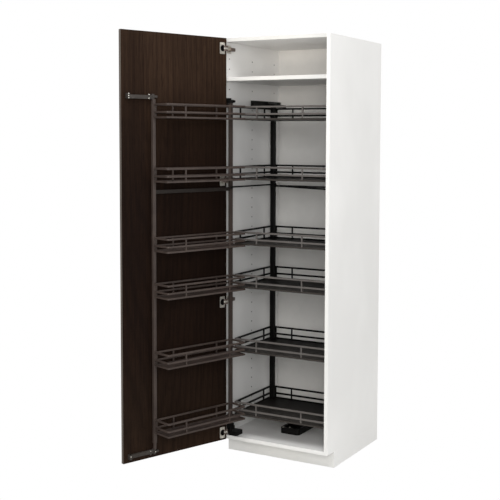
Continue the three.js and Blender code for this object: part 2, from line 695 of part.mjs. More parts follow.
// The slide on top of the post, which runs along the top runner beside its cover.
function topCarriage() {
  const cover = INNER_LEFT + TOP_RUNNER.fromSide + TOP_COVER.width;
  const half = TOP_CARRIAGE.length / 2;
  return block(
    [cover + TOP_CARRIAGE.sideGap, FRAME_POST_AXIS.x + FRAME_POST / 2],
    [FRAME_POST_AXIS.y - half, FRAME_POST_AXIS.y + half],
    [TOP_CARRIAGE_UNDER, TOP_CARRIAGE_UNDER + TOP_CARRIAGE.height],
  );
}

// The carriage in the floor runner, with the arm that carries the post.
function bottomCarriage() {
  const left = INNER_LEFT + FLOOR_RUNNER.side + FLOOR_RUNNER.lipWidth + CARRIAGE.clearance;
  const right = INNER_LEFT + FLOOR_RUNNER.side + FLOOR_RUNNER.width - FLOOR_RUNNER.lipWidth - CARRIAGE.clearance;
  const base = FLOOR_TOP + FLOOR_RUNNER.base + SEAT_GAP;
  const rear = FRAME_POST_AXIS.y + CARRIAGE_ARM.width / 2;
  const slide = raise(roundedRectangle([left, right], [rear - CARRIAGE.length, rear], 8), [
    base,
    CARRIAGE_ARM_TOP - CARRIAGE_ARM.thickness + 1,
  ]);
  const arm = raise(
    roundedRectangle(
      [FRAME_POST_AXIS.x - CARRIAGE_ARM.width / 2, right],
      [rear - CARRIAGE_ARM.width, rear],
      6,
    ),
    [CARRIAGE_ARM_TOP - CARRIAGE_ARM.thickness, CARRIAGE_ARM_TOP],
  );
  return join(slide, arm);
}

function topRunner() {
  const x = INNER_LEFT + TOP_RUNNER.fromSide;
  const y = TOP_RUNNER.front;
  const z = [TOP_RUNNER_TOP - TOP_RUNNER.height, TOP_RUNNER_TOP];
  const places = [y + TOP_RUNNER_BRACKET.fromFront, y + TOP_COVER.length - TOP_RUNNER_BRACKET.length];
  const brackets = places.map((front) =>
    block(
      [INNER_LEFT, x + 1],
      [front, front + TOP_RUNNER_BRACKET.length],
      [z[0] + 2, z[0] + 2 + TOP_RUNNER_BRACKET.height],
    ),
  );
  return join(
    block([x, x + TOP_RUNNER.width], [y, BACK_FACE - RUNNER_END_GAP], z),
    block([x, x + TOP_COVER.width], [y, y + TOP_COVER.length], [z[1] - 1, z[1] + TOP_COVER.height]),
    ...brackets,
  );
}

function floorRunner() {
  const x = [INNER_LEFT + FLOOR_RUNNER.side, INNER_LEFT + FLOOR_RUNNER.side + FLOOR_RUNNER.width];
  const y = [FLOOR_RUNNER.front, BACK_FACE - RUNNER_END_GAP / 2];
  const z = [FLOOR_TOP, FLOOR_TOP + FLOOR_RUNNER.base + FLOOR_RUNNER.lip];
  const whole = raise(roundedRectangle(x, y, FLOOR_RUNNER.corner), z);
  const channel = block(
    [x[0] + FLOOR_RUNNER.lipWidth, x[1] - FLOOR_RUNNER.lipWidth],
    [y[0] + 2 * FLOOR_RUNNER.lipWidth, y[1] + 1],
    [FLOOR_TOP + FLOOR_RUNNER.base, z[1] + 1],
  );
  return cut(whole, channel);
}

function buildFrame() {
  const frame = new THREE.Group();
  model.add(frame);
  add(frame, "frame_post", framePost(), BLACK_STEEL);
  add(frame, "frame_carriage_top", topCarriage(), BLACK_PLASTIC);
  add(frame, "frame_carriage_bottom", bottomCarriage(), BLACK_STEEL);
  add(cabinet, "frame_runner_top", topRunner(), BLACK_STEEL);
  add(cabinet, "frame_runner_floor", floorRunner(), BLACK_STEEL);

  const x = [FRAME_LEFT, FRAME_RIGHT];
  const y = [FRAME_FRONT, FRAME_REAR];
  const uprights = [
    ...FRAME_UPRIGHTS.flatMap((place) => y.map((side) => plan(place, side))),
    ...FRAME_SIDE_UPRIGHTS.flatMap((place) => x.map((side) => plan(side, place))),
  ];
  const plate = {
    x: FRAME_POST_AXIS.x + FRAME_POST_ROUND,
    y: FRAME_REAR - RAIL / 2 + HANGER_THICKNESS / 2,
    width: FRAME_POST,
    depth: HANGER_THICKNESS,
  };
  const passage = { x: FRAME_POST_AXIS.x, y: FRAME_POST_AXIS.y, width: FRAME_POST + 2 * SEAT_GAP };
  addTrays(frame, "frame", x, y, uprights, [plate], passage);
}

// The flat rod from the lug of the rack to the pin on the post of the frame. The front pivot has no pin.
function buildRod() {
  const front = turned(plan(ROD_ON_RACK.along, ROD_ON_RACK.out), -RACK_OPENING).add(RACK_AXIS);
  const z = [BRACE_TOP + SEAT_GAP, BRACE_TOP + SEAT_GAP + ROD_THICKNESS];
  const eyes = [front, ROD_REAR].map((end) => column(end, ROD_EYE_RADIUS, z, 10));
  const hole = column(ROD_REAR, ROD_PIN_RADIUS + PIN_CLEARANCE, z);
  add(model, "coupling_rod", cut(join(strip([front, ROD_REAR], ROD_WIDTH, z), ...eyes), hole), BLACK_STEEL);
}

buildCarcass();
buildPlinth();
buildLegs();
buildDoor();
buildRack();
buildRackBrackets();
buildFrame();
buildRod();

const middle = new THREE.Box3().setFromObject(model, true).getCenter(new THREE.Vector3());
model.position.set(-middle.x, -middle.y, 0);

export default model;
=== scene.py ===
"""Looks for a tall larder cabinet with a swing-out door rack and a pull-out frame of trays.

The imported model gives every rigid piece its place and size. This script finishes those pieces with eased edges,
drilled panels, screws and procedural materials, and adds a floor, soft light and the photograph's camera.
Lengths are in metres unless a name ends in _mm or _MM. +X is right, +Y into the cabinet, +Z up.
"""

import json
import logging
import math
from dataclasses import dataclass, field
from enum import Enum
from typing import Iterable, Optional, Sequence, Union

import bmesh
import bpy
from mathutils import Matrix, Vector


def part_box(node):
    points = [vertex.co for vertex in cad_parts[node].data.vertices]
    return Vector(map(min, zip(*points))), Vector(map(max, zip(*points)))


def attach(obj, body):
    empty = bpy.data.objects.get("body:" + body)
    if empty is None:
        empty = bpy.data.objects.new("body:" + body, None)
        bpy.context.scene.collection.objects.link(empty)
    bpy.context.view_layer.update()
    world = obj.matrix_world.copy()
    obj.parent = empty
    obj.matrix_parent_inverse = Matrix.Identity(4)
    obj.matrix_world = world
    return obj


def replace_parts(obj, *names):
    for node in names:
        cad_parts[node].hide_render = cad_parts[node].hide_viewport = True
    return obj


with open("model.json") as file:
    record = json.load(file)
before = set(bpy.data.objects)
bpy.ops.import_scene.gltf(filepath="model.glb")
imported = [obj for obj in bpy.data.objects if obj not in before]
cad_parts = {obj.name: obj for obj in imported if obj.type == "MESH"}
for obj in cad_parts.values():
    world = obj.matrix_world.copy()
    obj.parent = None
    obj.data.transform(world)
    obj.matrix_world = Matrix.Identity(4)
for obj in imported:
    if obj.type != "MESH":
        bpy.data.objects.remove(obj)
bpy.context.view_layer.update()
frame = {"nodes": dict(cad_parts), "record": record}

LOG = logging.getLogger("larder")
MM = 0.001
RIGHT = Vector((1, 0, 0))
UP = Vector((0, 0, 1))

# How far the door and the rack stand open at rest, as the CAD builds them
DOOR_OPENING = math.radians(110.5)
RACK_OPENING = math.radians(108.5)


def linear(hex_colour: str) -> tuple[float, float, float, float]:
    """Turns an sRGB hex colour into linear values.

    Args:
        hex_colour: six hex digits with a leading #.

    Returns:
        Linear red, green, blue and an alpha of 1.
    """
    channels = [int(hex_colour[i : i + 2], 16) / 255 for i in (1, 3, 5)]
    decoded = [c / 12.92 if c <= 0.04045 else ((c + 0.055) / 1.055) ** 2.4 for c in channels]
    return (*decoded, 1.0)


# ---------------------------------------------------------------------------------------------
# Materials
# ---------------------------------------------------------------------------------------------


class Space(Enum):
    """Which way the pattern of a material runs, as a turn about Z."""

    ROOM = 0.0
    DOOR = math.pi / 2 + DOOR_OPENING


@dataclass(frozen=True)
class PaintedRearShade:
    """Painted shade that darkens a finish from a set's front to its rear.

    Attributes:
        start_mm, end_mm: where the change starts and ends along Y, in the part's own frame at rest.
        colour: the painted shade's colour at the rear.
    """

    start_mm: float
    end_mm: float
    colour: str


class Nodes:
    """Adds nodes to one material or world."""

    def __init__(self, owner: Union[bpy.types.Material, bpy.types.World]) -> None:
        """Starts with an empty tree.

        Args:
            owner: the material or world that the nodes are for.
        """
        owner.use_nodes = True
        self.tree = owner.node_tree
        self.tree.nodes.clear()

    def add(
        self,
        kind: str,
        settings: Optional[dict[str, object]] = None,
        stops: Sequence[tuple[float, str]] = (),
        **inputs: object,
    ) -> bpy.types.Node:
        """Adds a node.

        Args:
            kind: the node's type, such as ShaderNodeTexNoise.
            settings: the node's own properties.
            stops: places and sRGB hex colours of a colour ramp, in rising order.
            **inputs: a value or an output socket for each input, which is called by its name with _ for a
                space, or by _ and its number.

        Returns:
            The new node.
        """
        node = self.tree.nodes.new(kind)
        for key, value in (settings or {}).items():
            setattr(node, key, value)
        for index, (place, colour) in enumerate(stops):
            elements = node.color_ramp.elements
            element = elements[index] if index < len(elements) else elements.new(place)
            element.position = place
            element.color = linear(colour)
        for key, value in inputs.items():
            socket = node.inputs[int(key[1:])] if key[1:].isdigit() else node.inputs[key.replace("_", " ")]
            if isinstance(value, bpy.types.NodeSocket):
                self.tree.links.new(value, socket)
            else:
                socket.default_value = value
        return node

    def coordinates(self, cell_mm: Sequence[float], space: Space = Space.ROOM) -> bpy.types.NodeSocket:
        """Makes coordinates in which one unit is one cell of a pattern.

        Args:
            cell_mm: size of the cell along X, Y and Z, after the turn.
            space: which way the pattern runs.

        Returns:
            The coordinates.
        """
        place = self.add("ShaderNodeTexCoord").outputs["Object"]
        turned = self.add("ShaderNodeMapping", Vector=place, Rotation=(0.0, 0.0, space.value))
        scale = tuple(1.0 / (cell * MM) for cell in cell_mm)
        cells = self.add("ShaderNodeVectorMath", {"operation": "MULTIPLY"}, _0=turned.outputs[0], _1=scale)
        return cells.outputs[0]

    def shaded_to_rear(self, colour: bpy.types.NodeSocket, rear_shade: PaintedRearShade) -> bpy.types.NodeSocket:
        """Paints shade on a colour: darker along Y, toward the rear.

        Args:
            colour: the colour at the front.
            rear_shade: where the painted shade changes, and to what.

        Returns:
            The colour with the painted shade in it.
        """
        place = self.add("ShaderNodeTexCoord").outputs["Object"]
        depth = self.add("ShaderNodeSeparateXYZ", Vector=place).outputs["Y"]
        share = self.add(
            "ShaderNodeMapRange", Value=depth, From_Min=rear_shade.start_mm * MM, From_Max=rear_shade.end_mm * MM
        )
        mixed = self.add(
            "ShaderNodeMix", {"data_type": "RGBA"}, _0=share.outputs[0], _6=colour, _7=linear(rear_shade.colour)
        )
        return mixed.outputs[2]


@dataclass(frozen=True)
class Finish:
    """Foil, powder coat, plate or plastic: a faint change of colour and a fine relief.

    Attributes:
        name: the material's name.
        light, dark: the two colours that its pattern moves between.
        roughness: of the surface.
        slot: the record's name for the finish, where a whole piece carries it. It is not used.
        metallic: how far the surface is bare metal, from 0 to 1.
        grain_mm: size of the pattern's cells along X, Y and Z.
        bump_mm: depth of the relief.
        bump_cell_mm: size of the relief's cells.
        space: which way the pattern runs.
        specular: level of the plain reflection, 0.5 for a smooth surface and less for a fine matt grain.
        rear_shade: painted shade that darkens the colour to the rear, if there is any.
    """

    name: str
    light: str
    dark: str
    roughness: float
    slot: Optional[str] = None
    metallic: float = 0.0
    grain_mm: tuple[float, float, float] = (40.0, 40.0, 40.0)
    bump_mm: float = 0.02
    bump_cell_mm: float = 0.6
    space: Space = Space.ROOM
    specular: float = 0.5
    rear_shade: Optional[PaintedRearShade] = None

    def material(self) -> bpy.types.Material:
        """Makes the material.

        Returns:
            The new material.
        """
        material = bpy.data.materials.new(self.name)
        nodes = Nodes(material)
        grain = nodes.coordinates(self.grain_mm, self.space)
        cloud = nodes.add("ShaderNodeTexNoise", Vector=grain, Scale=1.0, Detail=3.0).outputs["Fac"]
        stops = ((0.35, self.dark), (0.65, self.light))
        colour = nodes.add("ShaderNodeValToRGB", stops=stops, Fac=cloud).outputs["Color"]
        # Painted shade: the colour darkens toward the rear.
        if self.rear_shade:
            colour = nodes.shaded_to_rear(colour, self.rear_shade)
        cells = nodes.coordinates((self.bump_cell_mm,) * 3)
        grit = nodes.add("ShaderNodeTexNoise", Vector=cells, Scale=1.0, Detail=2.0).outputs["Fac"]
        self._cover(nodes, colour, grit)
        return material

    def _cover(self, nodes: Nodes, colour: bpy.types.NodeSocket, height: bpy.types.NodeSocket) -> None:
        """Ends a material's tree with its surface.

        Args:
            nodes: the material's nodes.
            colour: the surface's colour.
            height: its relief, from 0 to 1.
        """
        bump = nodes.add("ShaderNodeBump", Height=height, Distance=self.bump_mm * MM, Strength=1.0)
        surface = nodes.add(
            "ShaderNodeBsdfPrincipled",
            Base_Color=colour,
            Roughness=self.roughness,
            Metallic=self.metallic,
            Specular_IOR_Level=self.specular,
            Normal=bump.outputs["Normal"],
        )
        nodes.add("ShaderNodeOutputMaterial", Surface=surface.outputs["BSDF"])


@dataclass(frozen=True)
class Veneer(Finish):
    """Stained open-pored veneer: long growth bands, a cathedral figure and short dark pores along the grain.

    Attributes:
        wander_mm: size of the cells in which the growth bands come and go.
        band_mm: size of a growth band.
        pore_mm: size of a pore. Real ones are under 1 mm wide and up to about 25 mm long, too fine to show in
            the render, so these are drawn about three times as coarse.
        pore_mask: the pattern's values where a pore begins and is full, and how far it then is to the dark
            colour.
        figure_mm: size of a ring of the cathedral figure.
        figure_centre_mm: the middle of its rings, after the turn of the door.
        figure_mask: the same for a ring.
        ring_scale: the wave texture has 20 radians to a unit, so this makes one ring to a cell.
        top_mm: height of the door's upper edge.
        painted_shade_stops: painted shade on the wood, by the share of that height: darker in the middle, where
            the rack's trays shade the door, and paler at both ends, where more light reaches it.
    """

    wander_mm: tuple[float, float, float] = (220.0, 220.0, 900.0)
    band_mm: tuple[float, float, float] = (6.0, 6.0, 420.0)
    pore_mm: tuple[float, float, float] = (3.0, 3.0, 70.0)
    pore_mask: tuple[float, float, float] = (0.54, 0.62, 0.5)
    figure_mm: tuple[float, float, float] = (27.0, 27.0, 240.0)
    figure_centre_mm: tuple[float, float, float] = (147.0, 516.9, 1850.0)
    figure_mask: tuple[float, float, float] = (0.45, 1.0, 0.3)
    ring_scale: float = 2 * math.pi / 20
    top_mm: float = 2080.0
    painted_shade_stops: tuple[tuple[float, str], ...] = (
        (0.02, "#ffffff"),
        (0.12, "#cccccc"),
        (0.3, "#a69a96"),
        (0.64, "#a29490"),
        (0.8, "#d0cac8"),
        (0.9, "#ffffff"),
    )

    def material(self) -> bpy.types.Material:
        """Makes the material.

        Returns:
            The new material.
        """
        material = bpy.data.materials.new(self.name)
        nodes = Nodes(material)
        pores = nodes.add(
            "ShaderNodeTexNoise", Vector=nodes.coordinates(self.pore_mm, self.space), Scale=1.0, Detail=2.0
        ).outputs["Fac"]
        colour = self._growth(nodes)
        for pattern, (low, high, share) in ((pores, self.pore_mask), (self._rings(nodes), self.figure_mask)):
            mask = nodes.add("ShaderNodeMapRange", Value=pattern, From_Min=low, From_Max=high, To_Max=share)
            colour = nodes.add(
                "ShaderNodeMix", {"data_type": "RGBA"}, _0=mask.outputs[0], _6=colour, _7=linear(self.dark)
            ).outputs[2]
        self._cover(nodes, self._with_painted_shade(nodes, colour), pores)
        return material

    def _growth(self, nodes: Nodes) -> bpy.types.NodeSocket:
        """Draws the growth bands.

        Args:
            nodes: the material's nodes.

        Returns:
            Their colour.
        """
        wander = nodes.add(
            "ShaderNodeTexNoise", Vector=nodes.coordinates(self.wander_mm, self.space), Scale=1.0, Detail=2.0
        )
        bands = nodes.add(
            "ShaderNodeTexNoise",
            Vector=nodes.coordinates(self.band_mm, self.space),
            Scale=1.0,
            Detail=3.0,
            Distortion=0.9,
        )
        both = nodes.add(
            "ShaderNodeMath", {"operation": "MULTIPLY"}, _0=bands.outputs["Fac"], _1=wander.outputs["Fac"]
        )
        stops = ((0.02, self.dark), (0.34, self.light))
        return nodes.add("ShaderNodeValToRGB", stops=stops, Fac=both.outputs[0]).outputs["Color"]

    def _rings(self, nodes: Nodes) -> bpy.types.NodeSocket:
        """Draws the wavy rings of the cathedral figure.

        Args:
            nodes: the material's nodes.

        Returns:
            Their pattern, from 0 to 1.
        """
        centred = nodes.add(
            "ShaderNodeVectorMath",
            {"operation": "SUBTRACT"},
            _0=nodes.coordinates(self.figure_mm, self.space),
            _1=tuple(centre / cell for centre, cell in zip(self.figure_centre_mm, self.figure_mm)),
        )
        rings = nodes.add(
            "ShaderNodeTexWave",
            {"wave_type": "RINGS", "rings_direction": "SPHERICAL"},
            Vector=centred.outputs[0],
            Scale=self.ring_scale,
            Distortion=9.0,
            Detail=3.0,
            Detail_Scale=0.7,
        )
        return rings.outputs["Fac"]

    def _with_painted_shade(self, nodes: Nodes, colour: bpy.types.NodeSocket) -> bpy.types.NodeSocket:
        """Paints shade on the wood by height: darker in the middle, paler at both ends.

        Args:
            nodes: the material's nodes.
            colour: the wood's colour.

        Returns:
            The colour with the painted shade.
        """
        place = nodes.add("ShaderNodeTexCoord").outputs["Object"]
        height = nodes.add("ShaderNodeSeparateXYZ", Vector=place).outputs["Z"]
        share = nodes.add("ShaderNodeMath", {"operation": "DIVIDE"}, _0=height, _1=self.top_mm * MM)
        # Painted shade: a ramp by height makes the wood darker in the middle of the door, where the rack's trays
        # shade it.
        shade_factor = nodes.add("ShaderNodeValToRGB", stops=self.painted_shade_stops, Fac=share.outputs[0]).outputs["Color"]
        settings = {"data_type": "RGBA", "blend_type": "MULTIPLY"}
        return nodes.add("ShaderNodeMix", settings, _0=1.0, _6=colour, _7=shade_factor).outputs[2]


# White melamine foil: flat and cool, with just enough relief to break the gloss.
MELAMINE = Finish(
    "melamine_foil", "#edecea", "#e6e5e3", 0.42, "white_foil", grain_mm=(300, 300, 500), bump_mm=0.012
)
# Edging on the boards' front edges: a touch warmer and smoother than the faces.
EDGE_BAND = Finish(
    "melamine_edge_band", "#e6e5e2", "#e0dfdb", 0.4, grain_mm=(200, 200, 400), bump_mm=0.006
)
# The edging of the top panel and the shelf, drawn darker as painted shade where every lamp meets and a paler foil
# would burn out.
TOP_BAND = Finish(
    "melamine_top_edge_band_with_painted_shade", "#d3d2ce", "#cdccc8", 0.4, grain_mm=(200, 200, 400), bump_mm=0.006
)
# Painted hardboard back: greyer, and more matt.
HARDBOARD = Finish(
    "white_lacquered_hardboard", "#dddbd7", "#dad8d4", 0.6, "white_hardboard", bump_cell_mm=1.4
)
# Particle board inside the shelf-pin holes, drawn much darker than raw board as painted shade in the holes: a
# dark fleck on the white side.
BORE = Finish("particle_board_with_painted_hole_shade", "#4b4137", "#342c24", 0.9, grain_mm=(2, 2, 2), bump_mm=0.1)
# Dark ash veneer: open pores and long bands give the eye its scale and its grain direction. Painted shade by
# height darkens the middle of the door.
ASH = Veneer(
    "stained_ash_veneer",
    "#34251a",
    "#160b06",
    0.75,
    "dark_ash",
    bump_mm=0.04,
    space=Space.DOOR,
    specular=0.08,
)
# Lipping on the door's edges: paler than the face, as the photograph shows.
LIPPING = Finish("door_edge_lipping", "#5f574f", "#4a413a", 0.5, grain_mm=(30, 30, 300))
# Powder-coated steel: a warm dark grey that catches a soft highlight along its edges.
POWDER = Finish(
    "brown_grey_powder_coat",
    "#443a35",
    "#3a312d",
    0.42,
    "tray_steel",
    grain_mm=(60, 60, 60),
    bump_cell_mm=0.5,
    specular=0.25,
)
# The same coat on the inner galleries, with painted shade: grey where the front rail faces the room, painted near
# black behind it.
INNER_RAIL = Finish(
    "brown_grey_coat_on_inner_rails",
    "#5d5956",
    "#54504d",
    0.42,
    "tray_steel",
    grain_mm=(60, 60, 60),
    bump_cell_mm=0.5,
    specular=0.15,
    rear_shade=PaintedRearShade(12.0, 40.0, "#0b0a09"),
)
# The same coat on the inner trays, with painted shade that darkens it toward the back of the carcass.
INNER_PAN = Finish(
    "brown_grey_coat_on_inner_trays",
    "#3b3734",
    "#34302d",
    0.5,
    "tray_steel",
    grain_mm=(60, 60, 60),
    bump_cell_mm=0.5,
    specular=0.08,
    rear_shade=PaintedRearShade(10.0, 380.0, "#0f0d0c"),
)
# Black passivated steel of the mechanism: it swallows the light, and only its edges show. In the hinge cups'
# bowls it is painted shadow.
BLACK_STEEL_AND_BOWL_SHADOW = Finish(
    "black_zinc_steel_and_painted_bowl_shadow", "#0e0d0c", "#090808", 0.4, "black_steel", bump_cell_mm=0.8, specular=0.1
)
# The rack's crossbar: a warmer and paler black than the steel round it.
BAR_STEEL = Finish(
    "brown_black_coated_steel", "#2a2522", "#241f1c", 0.45, "black_steel", bump_cell_mm=0.8, specular=0.15
)
# Grey powder coat of the door rails: a dull grey bar against the dark wood.
GREY_STEEL = Finish("grey_powder_coat", "#3d3834", "#332e2a", 0.42, "grey_steel", specular=0.3)
# Nickel-plated hinge steel: the one bright metal.
NICKEL = Finish(
    "nickel_plate", "#e4e0d8", "#c9c5bc", 0.36, "nickel", metallic=1.0, grain_mm=(6, 6, 2), bump_mm=0.004
)
# The same plating with painted shade, where it lies in shadow on the arms' adjusting covers: brown and dull.
SHADED_NICKEL = Finish(
    "nickel_plate_with_painted_shade", "#7d7068", "#5b5049", 0.45, "nickel", metallic=0.6, grain_mm=(5, 5, 5)
)
# Moulded plastic of the legs and the top carriage: an even matt black.
PLASTIC = Finish(
    "moulded_black_plastic", "#232323", "#1a1a1a", 0.55, "black_plastic", bump_mm=0.03, bump_cell_mm=0.7
)


class Palette:
    """Builds each material once."""

    def __init__(self) -> None:
        """Starts with no material."""
        self._made: dict[str, bpy.types.Material] = {}

    def __getitem__(self, finish: Finish) -> bpy.types.Material:
        """Looks a material up, and makes it if it is new.

        Args:
            finish: the finish that is wanted.

        Returns:
            Its material.
        """
        if finish.name not in self._made:
            self._made[finish.name] = finish.material()
        return self._made[finish.name]


# ---------------------------------------------------------------------------------------------
# Meshes
# ---------------------------------------------------------------------------------------------

WELD_MM = 0.002  # vertices nearer than this become one
FLAT_DEGREES = 0.6  # faces that meet at less than this become one
CORNER_DEGREES = 50.0  # outer edges sharper than this are rounded
SHARP_DEGREES = 40.0  # edges sharper than this stay sharp in the shading
CUT_CLEAR_MM = 1.0  # a cutting tool starts this far outside the face that it cuts
MITRE_COSINE = 0.5  # past this cosine, a sharper turn makes a bar's mitre no longer


def shown(name: str, bm: bmesh.types.BMesh, *materials: bpy.types.Material) -> bpy.types.Object:
    """Links a finished mesh into the scene.

    Args:
        name: the object's name.
        bm: its mesh, which is freed.
        *materials: its material slots.

    Returns:
        The new object.
    """
    mesh = bpy.data.meshes.new(name)
    bm.to_mesh(mesh)
    bm.free()
    for material in materials:
        mesh.materials.append(material)
    made = bpy.data.objects.new(name, mesh)
    bpy.context.scene.collection.objects.link(made)
    return made


def smooth(piece: bpy.types.Object) -> None:
    """Shades a piece smooth apart from its sharp edges, with flat faces kept flat.

    Args:
        piece: the piece.
    """
    piece.data.shade_smooth()
    piece.data.set_sharp_from_angle(angle=math.radians(SHARP_DEGREES))
    weighted = piece.modifiers.new("flat faces stay flat", "WEIGHTED_NORMAL")
    weighted.keep_sharp = True


def eased(node: str, radius_mm: float, segments: int, rise_mm: float = 0.0) -> bmesh.types.BMesh:
    """Copies a CAD node's mesh and rounds its outer edges.

    Args:
        node: the CAD node.
        radius_mm: how far the rounding reaches from the edge.
        segments: faces across it.
        rise_mm: how far above the node the copy stands.

    Returns:
        The new mesh.
    """
    bm = bmesh.new()
    bm.from_mesh(frame["nodes"][node].data)
    bm.transform(Matrix.Translation((0, 0, rise_mm * MM)) @ frame["nodes"][node].matrix_world)
    bmesh.ops.remove_doubles(bm, verts=bm.verts, dist=WELD_MM * MM)
    bmesh.ops.dissolve_limit(bm, angle_limit=math.radians(FLAT_DEGREES), verts=bm.verts, edges=bm.edges)
    sharp = math.radians(CORNER_DEGREES)
    corners = [
        edge
        for edge in bm.edges
        if len(edge.link_faces) == 2 and edge.is_convex and edge.calc_face_angle(0) > sharp
    ]
    bmesh.ops.bevel(
        bm,
        geom=corners,
        offset=radius_mm * MM,
        segments=segments,
        profile=0.5,
        affect="EDGES",
        clamp_overlap=True,
    )
    return bm


def turned_profile(
    profile_mm: Sequence[tuple[float, float]], place: Vector, axis: Vector, sides: int
) -> bmesh.types.BMesh:
    """Makes a turned piece, open at its foot.

    Args:
        profile_mm: radius and height pairs, from the foot of the piece to its end.
        place: where the foot's centre is.
        axis: the direction of the height.
        sides: faces round it.

    Returns:
        The new mesh.
    """
    bm = bmesh.new()
    rings = []
    for radius, height in profile_mm:
        ring = [
            bm.verts.new((radius * MM * math.cos(a), radius * MM * math.sin(a), height * MM))
            for a in (2 * math.pi * i / sides for i in range(sides))
        ]
        rings.append(ring)
    for lower, upper in zip(rings, rings[1:]):
        for i in range(sides):
            j = (i + 1) % sides
            bm.faces.new((lower[i], lower[j], upper[j], upper[i]))
    bm.faces.new(rings[-1])
    turn = axis.normalized().to_track_quat("Z", "Y").to_matrix().to_4x4()
    bm.transform(Matrix.Translation(place) @ turn)
    return bm


def joined(parts: Iterable[bmesh.types.BMesh]) -> bmesh.types.BMesh:
    """Makes one mesh of several.

    Args:
        parts: the meshes, which are freed.

    Returns:
        The new mesh.
    """
    whole = bmesh.new()
    for part in parts:
        scratch = bpy.data.meshes.new("scratch")
        part.to_mesh(scratch)
        part.free()
        whole.from_mesh(scratch)
        bpy.data.meshes.remove(scratch)
    return whole


def swept(
    path: Sequence[Vector], profile_mm: Sequence[tuple[float, float]], up: Vector, closed: bool = False
) -> bmesh.types.BMesh:
    """Makes a bar that follows a path in a level plane, or stands upright.

    Args:
        path: the places that its axis goes through.
        profile_mm: the bar's section, as offsets to the side and along up.
        up: the direction of the section's second offset.
        closed: whether the last place joins the first.

    Returns:
        The new mesh.
    """
    bm = bmesh.new()
    count = len(path)
    rings = []
    for i, place in enumerate(path):
        before = path[i - 1] if closed or i else place
        after = path[(i + 1) % count] if closed or i < count - 1 else place
        arriving = (place - before).normalized() if before != place else (after - place).normalized()
        leaving = (after - place).normalized() if after != place else arriving
        along = (arriving + leaving).normalized()
        side = along.cross(up)
        mitre = 1.0 / max(along.dot(leaving), MITRE_COSINE)
        ring = [bm.verts.new(place + side * (a * mitre * MM) + up * (b * MM)) for a, b in profile_mm]
        rings.append(ring)
    sides = len(profile_mm)
    for near, far in zip(rings, rings[1:] + ([rings[0]] if closed else [])):
        for i in range(sides):
            j = (i + 1) % sides
            bm.faces.new((near[i], near[j], far[j], far[i]))
    if not closed:
        bm.faces.new(rings[0][::-1])
        bm.faces.new(rings[-1])
    bmesh.ops.recalc_face_normals(bm, faces=bm.faces)
    return bm


def rounded_section(width_mm: float, radius_mm: float) -> list[tuple[float, float]]:
    """Makes the outline of a square bar with rounded corners.

    Args:
        width_mm: width of the bar.
        radius_mm: of its corners.

    Returns:
        The outline's points.
    """
    inner = width_mm / 2 - radius_mm
    corners = ((inner, inner, 0), (-inner, inner, 90), (-inner, -inner, 180), (inner, -inner, 270))
    points = []
    for x, y, start in corners:
        for turn in (math.radians(start + step) for step in (0, 45, 90)):
            points.append((x + radius_mm * math.cos(turn), y + radius_mm * math.sin(turn)))
    return points


def carve(piece: bpy.types.Object, tools: Iterable[bmesh.types.BMesh]) -> None:
    """Cuts closed meshes out of a piece, and settles the result in its mesh.

    Args:
        piece: the piece.
        tools: the meshes, which are freed.
    """
    cutter = shown(f"{piece.name}_cutter", joined(tools))
    cut = piece.modifiers.new("cut", "BOOLEAN")
    cut.object = cutter
    cut.solver = "EXACT"
    settled = bpy.data.meshes.new_from_object(piece.evaluated_get(bpy.context.evaluated_depsgraph_get()))
    piece.modifiers.remove(cut)
    piece.data = settled
    bpy.data.objects.remove(cutter)


def plug(
    place: Vector, axis: Vector, radius_mm: float, depth_mm: float, sides: int = 12
) -> bmesh.types.BMesh:
    """Makes a closed cylinder.

    Args:
        place: the centre of its foot.
        axis: the direction from the foot to the end.
        radius_mm, depth_mm: its size.
        sides: faces round it.

    Returns:
        The new mesh.
    """
    bm = turned_profile([(radius_mm, 0.0), (radius_mm, depth_mm)], place, axis, sides)
    bmesh.ops.holes_fill(bm, edges=bm.edges, sides=0)
    return bm


class Head(Enum):
    """Size of a screw's head against the outline below."""

    SMALL = 0.75
    HINGE = 0.8
    RUNNER = 0.9
    PLAIN = 1.0
    LARGE = 1.5


# Half the outline of a pan head with a round socket: radius and height, from its foot to the socket's floor
SCREW_HEAD_MM = ((3.6, 0.0), (3.6, 0.7), (2.9, 1.5), (1.9, 1.8), (1.75, 1.8), (1.6, 0.8), (0.4, 0.6))


def screw(place: Vector, axis: Vector, head: Head) -> bmesh.types.BMesh:
    """Makes a screw's head that stands on a surface.

    Args:
        place: where the head's foot is centred.
        axis: the direction out of the surface.
        head: its size.

    Returns:
        The new mesh.
    """
    outline = [(radius * head.value, height * head.value) for radius, height in SCREW_HEAD_MM]
    return turned_profile(outline, place, axis, sides=16)


# ---------------------------------------------------------------------------------------------
# The unit
# ---------------------------------------------------------------------------------------------


